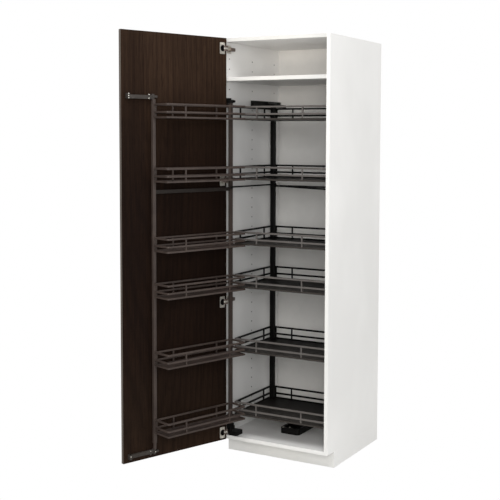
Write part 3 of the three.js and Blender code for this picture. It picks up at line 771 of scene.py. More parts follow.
@dataclass
class Dresser:
    """Finishes CAD nodes and adds pieces to their bodies.

    Attributes:
        palette: the materials.
    """

    palette: Palette = field(default_factory=Palette)

    def attach(self, piece: bpy.types.Object, body: str, finish: Finish) -> None:
        """Makes a piece ride on a body, and logs it with the name of its finish.

        Args:
            piece: the piece.
            body: the body that carries it.
            finish: the finish of the whole piece.
        """
        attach(piece, body)
        LOG.info("%s in %s rides on %s", piece.name, finish.name, body)

    def ease(
        self, node: str, body: str, finish: Finish, radius_mm: float = 0.6, segments: int = 2
    ) -> bpy.types.Object:
        """Shows a CAD node with eased edges.

        Args:
            node: the CAD node.
            body: the body that carries it.
            finish: its finish.
            radius_mm: how far the rounding reaches from an edge.
            segments: faces across the rounding.

        Returns:
            The piece that stands for the node.
        """
        self.paint(node, finish)
        piece = shown(f"{node}_finished", eased(node, radius_mm, segments), self.palette[finish])
        smooth(piece)
        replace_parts(piece, node)
        self.attach(piece, body, finish)
        return piece

    def paint(self, node: str, finish: Finish) -> None:
        """Gives a CAD node its material, with its shape as it is.

        Args:
            node: the CAD node.
            finish: its finish.
        """
        target = frame["nodes"][node]
        target.data.materials.clear()
        target.data.materials.append(self.palette[finish])

    def add(self, name: str, body: str, finish: Finish, bm: bmesh.types.BMesh) -> bpy.types.Object:
        """Adds a new piece to a body.

        Args:
            name: the piece's name.
            body: the body that carries it.
            finish: its finish.
            bm: its mesh, which is freed.

        Returns:
            The new piece.
        """
        piece = shown(name, bm, self.palette[finish])
        smooth(piece)
        self.attach(piece, body, finish)
        return piece


@dataclass
class Carcass:
    """Boards, plinth and legs.

    Attributes:
        dresser: finishes the boards.
        board_mm: thickness of a board.
        back_round_mm: rounding of the hardboard's edges.
        leg_round_mm: rounding of a leg's edges.
        band_depth_mm, band_cosine: a face this close behind the front edge, and turned this far to the front,
            takes the edging.
        hole_pitch_mm, hole_radius_mm, hole_depth_mm: of the shelf-pin holes.
        hole_columns_mm: from a side's front edge to each column of holes.
        first_hole_mm: from the underside of the top panel to the first row.
        rows_left_out: rows that the pitch gives beyond the last one that is drilled.
        margin_mm: a side's faces nearer than this to its edges belong to no hole.
        skin_mm: a face nearer than this to a side's inner face belongs to no hole.
    """

    dresser: Dresser
    board_mm: float = 18.0
    back_round_mm: float = 0.3
    leg_round_mm: float = 0.8
    band_depth_mm: float = 0.5
    band_cosine: float = 0.95
    hole_pitch_mm: float = 50.0
    hole_radius_mm: float = 3.4
    hole_depth_mm: float = 9.0
    hole_columns_mm: tuple[float, ...] = (52.0, 275.0, 505.0)
    first_hole_mm: float = 80.0
    rows_left_out: int = 3
    margin_mm: float = 20.0
    skin_mm: float = 0.3

    def build(self) -> None:
        """Finishes every board, and drills the sides."""
        for node in ("top_panel", "bottom_panel", "fixed_shelf", "plinth_front"):
            # The top panel and the shelf take the edging with painted shade.
            band = TOP_BAND if node in ("top_panel", "fixed_shelf") else EDGE_BAND
            self._band(self.dresser.ease(node, "cabinet", MELAMINE), band)
        for node in ("plinth_side_left", "plinth_side_right"):
            self.dresser.ease(node, "cabinet", MELAMINE)
        self.dresser.ease("back_panel", "cabinet", HARDBOARD, self.back_round_mm, 1)
        for node, inner_side in (("side_panel_left", 1), ("side_panel_right", 0)):
            panel = self.dresser.ease(node, "cabinet", MELAMINE)
            self._band(panel, EDGE_BAND)
            self._drill(panel, node, inner_side)
        for node in frame["nodes"]:
            if node.startswith("leg_"):
                self.dresser.ease(node, "cabinet", PLASTIC, self.leg_round_mm)

    def _band(self, panel: bpy.types.Object, band: Finish) -> None:
        """Gives the faces of a board's front edge their own edging.

        Args:
            panel: the board.
            band: the edging's finish.
        """
        mesh = panel.data
        mesh.materials.append(self.dresser.palette[band])
        behind = min(vertex.co.y for vertex in mesh.vertices) + self.band_depth_mm * MM
        for face in mesh.polygons:
            if -face.normal.y > self.band_cosine and face.center.y < behind:
                face.material_index = 1

    def _drill(self, panel: bpy.types.Object, node: str, inner_side: int) -> None:
        """Cuts the columns of shelf-pin holes into the inner face of a side.

        Args:
            panel: the side's piece.
            node: the side's CAD node.
            inner_side: 1 where the inner face is the one to the right, 0 where it is the one to the left.
        """
        low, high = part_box(node)
        inner = (low, high)[inner_side][0]
        inward = RIGHT if inner_side else -RIGHT
        rows = int((high[2] - low[2]) / (self.hole_pitch_mm * MM)) - self.rows_left_out
        holes = []
        for column in self.hole_columns_mm:
            for row in range(rows):
                drop = self.board_mm + self.first_hole_mm + row * self.hole_pitch_mm
                place = Vector((inner, low[1] + column * MM, high[2] - drop * MM))
                mouth = place + inward * (CUT_CLEAR_MM * MM)
                holes.append(plug(mouth, -inward, self.hole_radius_mm, self.hole_depth_mm + CUT_CLEAR_MM))
        carve(panel, holes)
        mesh = panel.data
        # Painted shade: the holes' walls take the dark board colour.
        mesh.materials.append(self.dresser.palette[BORE])
        margin = self.margin_mm * MM
        for face in mesh.polygons:
            depth = (face.center.x - inner) * -inward.x / MM
            inside = all(low[i] + margin < face.center[i] < high[i] - margin for i in (1, 2))
            if inside and self.skin_mm < depth < self.hole_depth_mm + CUT_CLEAR_MM:
                face.material_index = len(mesh.materials) - 1


@dataclass(frozen=True)
class DoorPlane:
    """The open door's own directions.

    Attributes:
        corner: its inner corner at the hinges.
        along: from the hinge edge to the free edge.
        out: out of its inner face.
    """

    corner: Vector
    along: Vector
    out: Vector

    @classmethod
    def from_frame(cls, pin_to_corner_mm: tuple[float, float] = (-11.0, 2.0)) -> "DoorPlane":
        """Works the directions out from the pin on which the door turns.

        Args:
            pin_to_corner_mm: from the pin to the corner, with the door shut.

        Returns:
            The door's directions.
        """
        pin = next(j for j in frame["record"]["behaviour"]["joints"] if j["child"] == "door")["pos_m"]
        turn = Matrix.Rotation(-DOOR_OPENING, 3, "Z")
        offset = turn @ Vector((*pin_to_corner_mm, 0)) * MM
        corner = Vector((pin[0], pin[1], 0)) + offset
        return cls(corner, turn @ Vector((1, 0, 0)), turn @ Vector((0, 1, 0)))

    def at(self, along_mm: float, out_mm: float, height: float) -> Vector:
        """Finds a place on the door.

        Args:
            along_mm: from the hinge edge.
            out_mm: out of the inner face.
            height: above the floor, in metres.

        Returns:
            The place.
        """
        place = self.corner + self.along * along_mm * MM + self.out * out_mm * MM
        return Vector((place.x, place.y, height))


@dataclass
class Hinges:
    """Arms, links and cups of the two-pivot hinges, with their screws.

    Attributes:
        dresser: finishes the nodes and adds the screws.
        plane: the door's directions.
        places: each hinge's set of nodes, and how far above those nodes it stands. One hinge of the four has
            no nodes and copies those of the middle one.
        parts: each kind of node, with its body, its rounding in mm and the faces across it.
        link_spread_mm: from the middle link to each side link.
        link_round_mm: rounding of a side link.
        cap_mm: an arm's adjusting cover: off the side panel, then its start and end along the arm.
        cap_width_mm, cap_round_mm: its section.
        plate_screws_mm: the arm's screws: off the side panel, from the arm's rear end, and up and down.
        adjusters_mm: the arm's adjusting screws: off the side panel, then two places along the arm.
        cup_screws_mm: the cup's screws: from the door's edge, off the door, and up and down.
        cup_bore_mm: the bowl: its centre from the door's edge, its radius and its depth.
        bowl_skin_mm: what lies deeper in the door than this is inside a cup, and takes the painted shadow.
    """

    dresser: Dresser
    plane: DoorPlane
    places: tuple[tuple[str, float], ...] = (
        ("bottom", 0.0),
        ("middle", 0.0),
        ("middle", 605.0),
        ("top", 0.0),
    )
    parts: tuple[tuple[str, str, float, int], ...] = (
        ("hinge_arm", "cabinet", 0.7, 2),
        ("hinge_link", "hinge_links", 0.4, 2),
        ("hinge_cup", "door", 0.35, 1),
    )
    link_spread_mm: float = 8.5
    link_round_mm: float = 0.4
    cap_mm: tuple[float, float, float] = (10.5, 38.0, 76.0)
    cap_width_mm: float = 17.0
    cap_round_mm: float = 3.0
    plate_screws_mm: tuple[float, float, float] = (2.0, 32.0, 13.0)
    adjusters_mm: tuple[float, float, float] = (13.0, 28.0, 48.0)
    cup_screws_mm: tuple[float, float, float] = (25.5, 1.2, 22.0)
    cup_bore_mm: tuple[float, float, float] = (22.5, 17.5, 13.1)
    bowl_skin_mm: float = 0.5

    def build(self) -> None:
        """Finishes the nodes and adds what they lack."""
        side_links, caps, arm_screws, cup_screws = [], [], [], []
        for place, rise in self.places:
            self._dress(place, rise)
            for side in (-self.link_spread_mm, self.link_spread_mm):
                side_links.append(eased(f"hinge_link_{place}", self.link_round_mm, 1, rise + side))
            low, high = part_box(f"hinge_arm_{place}")
            height = (low[2] + high[2]) / 2 + rise * MM
            off, *ends = self.cap_mm
            path = [Vector((low[0] + off * MM, low[1] + end * MM, height)) for end in ends]
            caps.append(swept(path, rounded_section(self.cap_width_mm, self.cap_round_mm), UP))
            arm_screws += self._arm_screws(low, high, height)
            cup_screws += self._cup_screws(height)
        self.dresser.add("hinge_side_links", "hinge_links", SHADED_NICKEL, joined(side_links))
        self.dresser.add("hinge_arm_caps", "cabinet", SHADED_NICKEL, joined(caps))
        self.dresser.add("hinge_arm_screws", "cabinet", NICKEL, joined(arm_screws))
        self.dresser.add("hinge_cup_screws", "door", NICKEL, joined(cup_screws))

    def bore(self, panel: bpy.types.Object) -> None:
        """Cuts the bowls into the door for the hinges that have no nodes.

        Args:
            panel: the door panel's piece.
        """
        from_edge, radius, depth = self.cup_bore_mm
        for place, rise in self.places:
            if rise:
                low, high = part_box(f"hinge_cup_{place}")
                mouth = self.plane.at(from_edge, CUT_CLEAR_MM, (low[2] + high[2]) / 2 + rise * MM)
                carve(panel, [plug(mouth, -self.plane.out, radius, depth + CUT_CLEAR_MM, sides=24)])

    def _dress(self, place: str, rise_mm: float) -> None:
        """Shows one hinge's arm, link and cup.

        Args:
            place: which set of nodes it has or copies.
            rise_mm: how far above them it stands. At zero it is the nodes' own hinge.
        """
        for kind, body, radius, segments in self.parts:
            node = f"{kind}_{place}"
            if rise_mm:
                self.dresser.add(f"{kind}_upper", body, NICKEL, eased(node, radius, segments, rise_mm))
                continue
            piece = self.dresser.ease(node, body, NICKEL, radius, segments)
            if kind == "hinge_cup":
                self._paint_bowl_shadow(piece)

    def _paint_bowl_shadow(self, cup: bpy.types.Object) -> None:
        """Paints shadow inside a cup: the faces of its bowl take the black steel as painted shade.

        Args:
            cup: the cup's piece.
        """
        # Painted shadow: the bowl's faces take the black steel.
        cup.data.materials.append(self.dresser.palette[BLACK_STEEL_AND_BOWL_SHADOW])
        for face in cup.data.polygons:
            if (face.center - self.plane.corner).dot(self.plane.out) < -self.bowl_skin_mm * MM:
                face.material_index = 1

    def _arm_screws(
        self, low: Sequence[float], high: Sequence[float], height: float
    ) -> list[bmesh.types.BMesh]:
        """Makes one arm's screws.

        Args:
            low, high: the arm's box.
            height: of the arm's middle.

        Returns:
            The screws.
        """
        off, from_rear, spread = self.plate_screws_mm
        heads = []
        for side in (-spread, spread):
            foot = Vector((low[0] + off * MM, high[1] - from_rear * MM, height + side * MM))
            heads.append(screw(foot, RIGHT, Head.HINGE))
        off, *places = self.adjusters_mm
        for along in places:
            foot = Vector((low[0] + off * MM, low[1] + along * MM, height))
            heads.append(screw(foot, RIGHT, Head.SMALL))
        return heads

    def _cup_screws(self, height: float) -> list[bmesh.types.BMesh]:
        """Makes one cup's screws.

        Args:
            height: of the cup's middle.

        Returns:
            The screws.
        """
        from_edge, off, spread = self.cup_screws_mm
        feet = [self.plane.at(from_edge, off, height + side * MM) for side in (-spread, spread)]
        return [screw(foot, self.plane.out, Head.HINGE) for foot in feet]


@dataclass
class Door:
    """Door panel, and the rails on it beside the rack's free post.

    Attributes:
        dresser: finishes the nodes and adds the fittings.
        plane: the door's directions.
        panel_round_mm, rail_round_mm: rounding of the panel's and the rails' edges.
        lipping_area_mm2, lipping_cosine: a face that is larger than this, and turned this far to the door's
            hinge edge or free edge, takes the lipping.
        face_mm: from the door's face to the front of the rails' fittings.
        blocks_mm: the rails' end blocks: along the door, half their height, and their width.
        block_round_mm: rounding of a block.
        stub_mm: where the stub beyond a rail's inner end starts and ends along the door.
        stub_width_mm, stub_round_mm, stub_depth_mm: its section, and its axis from the fittings' front.
        rails: each rail's node with its screws: along the door, and over the rail's middle.
        screw_sink_mm: how deep the screws' heads sit.
    """

    dresser: Dresser
    plane: DoorPlane = field(default_factory=DoorPlane.from_frame)
    panel_round_mm: float = 0.8
    rail_round_mm: float = 1.5
    lipping_area_mm2: float = 1000.0
    lipping_cosine: float = 0.9
    face_mm: float = 21.0
    blocks_mm: tuple[tuple[float, float, float], ...] = ((569.0, 12.0, 11.0), (461.0, 11.0, 8.0))
    block_round_mm: float = 1.5
    stub_mm: tuple[float, float] = (415.0, 432.0)
    stub_width_mm: float = 11.0
    stub_round_mm: float = 2.0
    stub_depth_mm: float = 7.0
    rails: tuple[tuple[str, tuple[tuple[float, float], ...]], ...] = (
        ("door_rail_top", ((569.0, 9.5), (569.0, 0.0), (569.0, -9.5), (461.0, 8.5), (461.0, -8.5))),
        ("door_rail_bottom", ((569.0, 2.0), (461.0, 8.5), (434.0, 0.0))),
    )
    screw_sink_mm: float = 0.3

    def build(self) -> None:
        """Finishes the door and what is screwed to it."""
        panel = self.dresser.ease("door_panel", "door", ASH, self.panel_round_mm)
        panel.data.materials.append(self.dresser.palette[LIPPING])
        for face in panel.data.polygons:
            large = face.area > self.lipping_area_mm2 * MM * MM
            if large and abs(face.normal.dot(self.plane.along)) > self.lipping_cosine:
                face.material_index = 1
        for node, _ in self.rails:
            self.dresser.ease(node, "door", GREY_STEEL, self.rail_round_mm)
        self._rail_fittings()
        hinges = Hinges(self.dresser, self.plane)
        hinges.build()
        hinges.bore(panel)

    def _rail_fittings(self) -> None:
        """Adds the rails' end blocks and stubs, and the bright screws in them."""
        blocks, heads = [], []
        for node, screws in self.rails:
            low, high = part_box(node)
            middle = (high[2] + low[2]) / 2
            for along, half, width in self.blocks_mm:
                out = self.face_mm - width / 2
                ends = [self.plane.at(along, out, middle + z * MM) for z in (-half, half)]
                section = rounded_section(width, self.block_round_mm)
                blocks.append(swept(ends, section, self.plane.along))
            out = self.face_mm - self.stub_depth_mm
            stub = [self.plane.at(along, out, middle) for along in self.stub_mm]
            blocks.append(swept(stub, rounded_section(self.stub_width_mm, self.stub_round_mm), UP))
            for along, over in screws:
                place = self.plane.at(along, self.face_mm - self.screw_sink_mm, middle + over * MM)
                heads.append(screw(place, self.plane.out, Head.SMALL))
        self.dresser.add("rail_fittings", "door", GREY_STEEL, joined(blocks))
        self.dresser.add("rail_screws", "door", NICKEL, joined(heads))


@dataclass(frozen=True)
class TrayPlan:
    """The plan of one set of trays, in its own directions.

    Attributes:
        body: the body that carries it.
        origin: the place that its directions are measured from.
        along: the direction of its long side.
        pan: the trays' finish.
        rails: the galleries' finish.
        uprights_mm: places of the uprights on the long sides.
        side_uprights_mm: places of the uprights on the short sides.
        hangers_mm: place along and width of each hanger plate on the side next to the post.
        hanger_side: the long side that has them, 0 or 1.
    """

    body: str
    origin: Vector
    along: Vector
    pan: Finish
    rails: Finish
    uprights_mm: tuple[float, ...]
    side_uprights_mm: tuple[float, ...]
    hangers_mm: tuple[tuple[float, float], ...]
    hanger_side: int

    @property
    def out(self) -> Vector:
        """The direction of the short side."""
        return Vector((-self.along.y, self.along.x, 0))

    def at(self, along_mm: float, out_mm: float, height: float) -> Vector:
        """Finds a place in the plan.

        Args:
            along_mm: along the long side.
            out_mm: along the short side.
            height: above the floor, in metres.

        Returns:
            The place.
        """
        place = self.origin + self.along * along_mm * MM + self.out * out_mm * MM
        return Vector((place.x, place.y, height))

    def extent(self, node: str) -> tuple[list[float], list[float], list[float]]:
        """Measures a CAD node in the plan.

        Args:
            node: the CAD node.

        Returns:
            How far it reaches along and out, in millimetres, and up, in metres.
        """
        target = frame["nodes"][node]
        places = [target.matrix_world @ vertex.co - self.origin for vertex in target.data.vertices]
        along = [place.dot(self.along) / MM for place in places]
        out = [place.dot(self.out) / MM for place in places]
        up = [place.z for place in places]
        return [min(along), max(along)], [min(out), max(out)], [min(up), max(up)]


@dataclass
class Gallery:
    """Two closed rails on uprights round a tray, drawn as rounded steel bar.

    Attributes:
        plan: the plan of its set.
        node: its CAD node.
        rail_mm, rail_round_mm: section of a rail.
        corner_mm: radius of a rail's axis at a corner.
        corner_steps: lengths that a corner is made of.
        rise_mm: how far the top rail stands above the CAD's.
        middle_drop_mm: from the top rail down to the middle one.
        upright_mm, upright_round_mm: section of an upright.
        hanger_mm: thickness of a hanger plate.
    """

    plan: TrayPlan
    node: str
    rail_mm: float = 9.0
    rail_round_mm: float = 2.0
    corner_mm: float = 5.5
    corner_steps: int = 4
    rise_mm: float = 2.8
    middle_drop_mm: float = 35.5
    upright_mm: float = 7.2
    upright_round_mm: float = 1.6
    hanger_mm: float = 3.0

    def build(self) -> bmesh.types.BMesh:
        """Sweeps the rails and uprights in the room that the CAD solid holds.

        Returns:
            The gallery's mesh.
        """
        along, out, up = self.plan.extent(self.node)
        half = self.rail_mm / 2
        along = [along[0] + half, along[1] - half]
        out = [out[0] + half, out[1] - half]
        top = up[1] + (self.rise_mm - half) * MM
        parts = [self._rail(along, out, height) for height in (top, top - self.middle_drop_mm * MM)]
        places = [(a, o) for a in self.plan.uprights_mm for o in out]
        places += [(a, o) for o in self.plan.side_uprights_mm for a in along]
        section = rounded_section(self.upright_mm, self.upright_round_mm)
        for a, o in places:
            path = [self.plan.at(a, o, height) for height in (up[0], top)]
            parts.append(swept(path, section, self.plan.along))
        for centre, width in self.plan.hangers_mm:
            parts.append(self._hanger(centre, width, out[self.plan.hanger_side], up))
        return joined(parts)

    def _rail(self, along: Sequence[float], out: Sequence[float], height: float) -> bmesh.types.BMesh:
        """Sweeps one closed rail with round corners.

        Args:
            along: where the rail's axis starts and ends along the tray, in millimetres.
            out: the same across the tray.
            height: of the rail's axis.

        Returns:
            The rail's mesh.
        """
        radius = self.corner_mm
        path = []
        corners = (
            (along[1] - radius, out[1] - radius, 0),
            (along[0] + radius, out[1] - radius, 90),
            (along[0] + radius, out[0] + radius, 180),
            (along[1] - radius, out[0] + radius, 270),
        )
        for x, y, start in corners:
            for step in range(self.corner_steps + 1):
                turn = math.radians(start + 90 * step / self.corner_steps)
                path.append(self.plan.at(x + radius * math.cos(turn), y + radius * math.sin(turn), height))
        return swept(path, rounded_section(self.rail_mm, self.rail_round_mm), UP, closed=True)

    def _hanger(self, along: float, width: float, out: float, up: Sequence[float]) -> bmesh.types.BMesh:
        """Makes the flat plate by which the gallery hangs on its post.

        Args:
            along: the plate's middle along the tray, in millimetres.
            width: its width, in millimetres.
            out: the rail's axis across the tray, in millimetres.
            up: heights of the plate's foot and top.

        Returns:
            The plate's mesh.
        """
        inward = 1 if self.plan.hanger_side == 0 else -1
        middle = out - inward * (self.rail_mm - self.hanger_mm) / 2
        path = [self.plan.at(along, middle, height) for height in up]
        x, y = self.hanger_mm / 2, width / 2
        return swept(path, [(-x, -y), (x, -y), (x, y), (-x, y)], self.plan.along)


@dataclass
class Mechanism:
    """Rack, sliding frame, and the brackets and runners that carry them.

    Attributes:
        dresser: finishes the nodes and adds the screws.
        roundings_mm: rounding of each kind of node that isn't a gallery.
        bar_trim_mm: how much lower the photograph's crossbar ends than the CAD's, at its upper edge.
        bar_edge_mm: what is nearer than this to the crossbar's top belongs to its upper edge.
        bracket_screws_mm: the top bracket's screws: off the side panel, from its rear end, and from its foot
            and its top.
        runner_screws_mm: the floor runner's dark screws: from its sides, then from its front end.
        bright_screws_mm: its bright screws, from its front left corner.
        post_foot_mm: heights of the collar round the foot of the rack's hinge post.
        post_foot_width_mm, post_foot_round_mm: the collar's section.
    """

    dresser: Dresser
    roundings_mm: dict[str, float] = field(
        default_factory=lambda: {"tray": 0.6, "rack_post": 1.5, "carried": 1.0, "fixed": 1.2}
    )
    bar_trim_mm: float = 10.0
    bar_edge_mm: float = 5.0
    bracket_screws_mm: tuple[float, float, float, float] = (3.0, 12.0, 8.0, 6.0)
    runner_screws_mm: tuple[float, ...] = (6.5, 24.0, 214.0, 394.0)
    bright_screws_mm: tuple[tuple[float, float], ...] = ((46.0, 22.0), (14.0, 10.0))
    post_foot_mm: tuple[float, float] = (127.0, 158.0)
    post_foot_width_mm: float = 27.0
    post_foot_round_mm: float = 3.0

    def build(self) -> None:
        """Finishes posts, trays, galleries and runners."""
        rack, sliding_frame = self._rack_plan(), self._frame_plan()
        for plan in (rack, sliding_frame):
            for node in frame["record"]["behaviour"]["bodies"][plan.body]:
                if "gallery" in node:
                    self.dresser.paint(node, plan.rails)
                    mesh = Gallery(plan, node).build()
                    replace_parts(self.dresser.add(f"{node}_rails", plan.body, plan.rails, mesh), node)
                else:
                    self._finish(node, plan)
        for node in ("rack_bracket_top", "rack_bracket_bottom", "frame_runner_top", "frame_runner_floor"):
            self.dresser.ease(node, "cabinet", BLACK_STEEL_AND_BOWL_SHADOW, self.roundings_mm["fixed"])
        self._screws()
        foot = [rack.at(0.0, 0.0, height * MM) for height in self.post_foot_mm]
        section = rounded_section(self.post_foot_width_mm, self.post_foot_round_mm)
        self.dresser.add("rack_post_collar", "rack", BLACK_STEEL_AND_BOWL_SHADOW, swept(foot, section, rack.along))

    def _rack_plan(self) -> TrayPlan:
        """Plans the rack's trays from the axis that the rack turns on.

        Returns:
            The plan.
        """
        axis = next(j for j in frame["record"]["behaviour"]["joints"] if j["child"] == "rack")["pos_m"]
        return TrayPlan(
            body="rack",
            origin=Vector((axis[0], axis[1], 0)),
            along=Vector((math.cos(RACK_OPENING), -math.sin(RACK_OPENING), 0)),
            pan=POWDER,
            rails=POWDER,
            uprights_mm=(100.0, 362.0),
            side_uprights_mm=(),
            hangers_mm=((8.0, 16.0), (460.0, 16.0)),
            hanger_side=0,
        )

    def _frame_plan(self) -> TrayPlan:
        """Plans the sliding frame's trays from the carcass's front left corner.

        Returns:
            The plan.
        """
        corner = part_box("side_panel_left")[0]
        return TrayPlan(
            body="frame",
            origin=Vector((corner[0], corner[1], 0)),
            along=RIGHT,
            pan=INNER_PAN,
            rails=INNER_RAIL,
            uprights_mm=(192.0, 444.0),
            side_uprights_mm=(75.0, 315.0),
            hangers_mm=((86.5, 24.0),),
            hanger_side=1,
        )

    def _finish(self, node: str, plan: TrayPlan) -> None:
        """Chooses a finish and a rounding for one node of the rack or the frame.

        Args:
            node: the CAD node.
            plan: the plan of its set.
        """
        if "tray" in node:
            self.dresser.ease(node, plan.body, plan.pan, self.roundings_mm["tray"])
        elif node in ("rack_post_hinge", "rack_post_free"):
            self.dresser.ease(node, plan.body, POWDER, self.roundings_mm["rack_post"])
        elif node == "rack_crossbar":
            self._trim(self.dresser.ease(node, plan.body, BAR_STEEL, self.roundings_mm["carried"]))
        else:
            finish = PLASTIC if node == "frame_carriage_top" else BLACK_STEEL_AND_BOWL_SHADOW
            self.dresser.ease(node, plan.body, finish, self.roundings_mm["carried"])

    def _trim(self, bar: bpy.types.Object) -> None:
        """Lowers the upper edge of the crossbar, and leaves its lug as it is.

        Args:
            bar: the crossbar's piece.
        """
        top = max(vertex.co.z for vertex in bar.data.vertices)
        for vertex in bar.data.vertices:
            if vertex.co.z > top - self.bar_edge_mm * MM:
                vertex.co.z -= self.bar_trim_mm * MM

    def _screws(self) -> None:
        """Adds the screws through the brackets and runners into the carcass."""
        heads = []
        low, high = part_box("rack_bracket_top")
        off, from_rear, from_foot, from_top = self.bracket_screws_mm
        for height in (low[2] + from_foot * MM, high[2] - from_top * MM):
            foot = Vector((low[0] + off * MM, high[1] - from_rear * MM, height))
            heads.append(screw(foot, RIGHT, Head.PLAIN))
        low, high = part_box("frame_runner_floor")
        inset, *places = self.runner_screws_mm
        for back in places:
            for x in (low[0] + inset * MM, high[0] - inset * MM):
                heads.append(screw(Vector((x, low[1] + back * MM, high[2])), UP, Head.RUNNER))
        self.dresser.add("bracket_screws", "cabinet", BLACK_STEEL_AND_BOWL_SHADOW, joined(heads))
        bright = []
        for x, y in self.bright_screws_mm:
            foot = Vector((low[0] + x * MM, low[1] + y * MM, high[2]))
            bright.append(screw(foot, UP, Head.LARGE))
        self.dresser.add("runner_screws", "cabinet", NICKEL, joined(bright))


# ---------------------------------------------------------------------------------------------
# Room
# ---------------------------------------------------------------------------------------------


@dataclass(frozen=True)
class SoftBox:
    """A rectangular soft light.

    Attributes:
        name: the light's name.
        place: its centre.
        aim: what it points at.
        size: width and height.
        power: in watts.
    """

    name: str
    place: tuple[float, float, float]
    aim: tuple[float, float, float]
    size: tuple[float, float]
    power: float

    def make(self) -> None:
        """Adds the light."""
        data = bpy.data.lights.new(self.name, "AREA")
        data.shape = "RECTANGLE"
        data.size, data.size_y = self.size
        data.energy = self.power
        hang(data, self.place, self.aim)


@dataclass(frozen=True)
class Beam:
    """A soft-edged warm spot that reaches into a deep corner of the carcass.

    Attributes:
        place: where it is.
        aim: what it points at.
        width: of its cone, in degrees.
        power: in watts.
        colour: of its light.
        bulb: radius of its source.
    """

    place: tuple[float, float, float]
    aim: tuple[float, float, float]
    width: float
    power: float
    colour: str = "#fff6ea"
    bulb: float = 0.12

    def make(self) -> None:
        """Adds the light."""
        data = bpy.data.lights.new("beam", "SPOT")
        data.energy = self.power
        data.color = linear(self.colour)[:3]
        data.spot_size = math.radians(self.width)
        data.spot_blend = 1.0
        data.shadow_soft_size = self.bulb
        hang(data, self.place, self.aim)


def hang(data: bpy.types.Light, place: Sequence[float], aim: Sequence[float]) -> None:
    """Puts a light into the scene.

    Args:
        data: the light.
        place: where it is.
        aim: what it points at.
    """
    lamp = bpy.data.objects.new(data.name, data)
    lamp.location = place
    lamp.rotation_euler = (Vector(aim) - Vector(place)).to_track_quat("-Z", "Y").to_euler()
    bpy.context.scene.collection.objects.link(lamp)


@dataclass(frozen=True)
class PhotoCamera:
    """The photograph's view.

    Attributes:
        picture_pixels: width and height of the picture.
        lens_pixels: focal length.
        sensor_mm: width of the sensor, which the focal length is given to Blender by.
        centre_pixels: where the lens's axis meets the picture, from its upper left corner.
        from_corner_mm: the camera's place, from the front left floor corner of the carcass.
        turns: yaw, pitch and roll, in degrees.
        reach: distance of the farthest thing that it shows.
    """

    picture_pixels: float = 500.0
    lens_pixels: float = 983.12
    sensor_mm: float = 36.0
    centre_pixels: tuple[float, float] = (290.0, 205.0)
    from_corner_mm: tuple[float, float, float] = (2625.3, -4128.1, 1595.2)
    turns: tuple[float, float, float] = (28.41, -3.93, 0.282)
    reach: float = 60.0

    def make(self) -> None:
        """Adds the camera and makes it the scene's."""
        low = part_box("side_panel_left")[0]
        corner = Vector((low[0], low[1], 0))
        yaw, pitch, roll = (math.radians(value) for value in self.turns)
        forward = Vector(
            (-math.sin(yaw) * math.cos(pitch), math.cos(yaw) * math.cos(pitch), math.sin(pitch))
        )
        level = Vector((math.cos(yaw), math.sin(yaw), 0))
        upright = level.cross(forward)
        right = level * math.cos(roll) + upright * math.sin(roll)
        up = upright * math.cos(roll) - level * math.sin(roll)
        data = bpy.data.cameras.new("camera")
        data.sensor_fit = "HORIZONTAL"
        data.sensor_width = self.sensor_mm
        data.lens = self.lens_pixels / self.picture_pixels * self.sensor_mm
        data.shift_x = (self.picture_pixels / 2 - self.centre_pixels[0]) / self.picture_pixels
        data.shift_y = (self.centre_pixels[1] - self.picture_pixels / 2) / self.picture_pixels
        data.clip_end = self.reach
        camera = bpy.data.objects.new("camera", data)
        turn = Matrix((right, up, -forward)).transposed().to_4x4()
        camera.matrix_world = Matrix.Translation(corner + Vector(self.from_corner_mm) * MM) @ turn
        bpy.context.scene.collection.objects.link(camera)
        bpy.context.scene.camera = camera


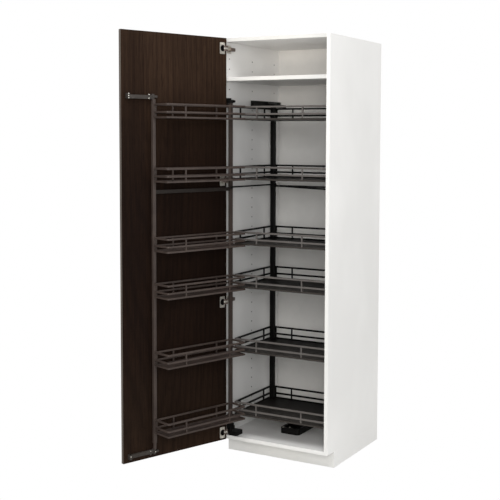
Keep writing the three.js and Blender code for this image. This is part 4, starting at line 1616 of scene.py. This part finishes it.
@dataclass
class Studio:
    """Floor, light, world and camera.

    Attributes:
        floor_size: half the floor's width.
        floor_drop_mm: how far the floor lies below the legs, so that nothing flickers.
        floor_colour: what the floor reflects. The camera sees it as white.
        world_strength: the world's light. The camera sees it as white.
        soft_boxes: the soft lights.
        beams: two spots into the upper compartment and one onto the carcass's floor.
        camera: the photograph's view.
    """

    floor_size: float = 9.0
    floor_drop_mm: float = 0.5
    floor_colour: str = "#c4c4c2"
    world_strength: float = 0.64
    soft_boxes: tuple[SoftBox, ...] = (
        SoftBox("front", (2.6, -4.4, 2.0), (0.1, 0.0, 1.1), (2.0, 2.0), 112.0),
        SoftBox("right", (4.6, 1.3, 1.6), (0.39, 0.3, 1.1), (2.5, 2.8), 26.0),
        SoftBox("left", (-1.5, -4.6, 1.5), (-0.4, -0.6, 1.2), (0.8, 1.6), 20.0),
        SoftBox("top", (1.0, -1.6, 4.6), (0.0, -0.1, 1.0), (2.6, 2.6), 88.0),
    )
    beams: tuple[Beam, ...] = (
        Beam((1.3, -3.4, 2.05), (-0.12, 0.4, 1.98), 11.0, 79.0),
        Beam((0.9, -3.4, 1.2), (0.0, 0.3, 2.0), 8.0, 85.0),
        Beam((0.9, -3.4, 1.3), (0.08, 0.2, 0.14), 8.5, 52.0),
    )
    camera: PhotoCamera = PhotoCamera()

    def build(self) -> None:
        """Makes them all."""
        self._floor()
        self._world()
        for light in (*self.soft_boxes, *self.beams):
            light.make()
        self.camera.make()
        bpy.context.scene.view_settings.view_transform = "Standard"

    def _floor(self) -> None:
        """Adds a pale floor that the camera sees as white."""
        bm = bmesh.new()
        bmesh.ops.create_grid(bm, x_segments=8, y_segments=8, size=self.floor_size)
        material = bpy.data.materials.new("studio_floor")
        nodes = Nodes(material)
        matt = nodes.add("ShaderNodeBsdfDiffuse", Color=linear(self.floor_colour))
        lit = nodes.add("ShaderNodeEmission", Color=(1, 1, 1, 1), Strength=1.0)
        seen = nodes.add("ShaderNodeLightPath").outputs["Is Camera Ray"]
        mixed = nodes.add("ShaderNodeMixShader", _0=seen, _1=matt.outputs[0], _2=lit.outputs[0])
        nodes.add("ShaderNodeOutputMaterial", Surface=mixed.outputs[0])
        floor = shown("floor", bm, material)
        floor.location.z = -self.floor_drop_mm * MM

    def _world(self) -> None:
        """Adds white behind the object, and a softer white as its light."""
        world = bpy.data.worlds.new("studio")
        bpy.context.scene.world = world
        nodes = Nodes(world)
        seen = nodes.add("ShaderNodeLightPath").outputs["Is Camera Ray"]
        strength = nodes.add("ShaderNodeMapRange", Value=seen, To_Min=self.world_strength, To_Max=1.0)
        background = nodes.add("ShaderNodeBackground", Color=(1, 1, 1, 1), Strength=strength.outputs[0])
        nodes.add("ShaderNodeOutputWorld", Surface=background.outputs[0])


def main() -> None:
    """Dresses the unit and builds the room."""
    logging.basicConfig(level=logging.INFO, format="%(name)s: %(message)s")
    dresser = Dresser()
    Carcass(dresser).build()
    Door(dresser).build()
    Mechanism(dresser).build()
    Studio().build()


if __name__ == "__main__":
    main()
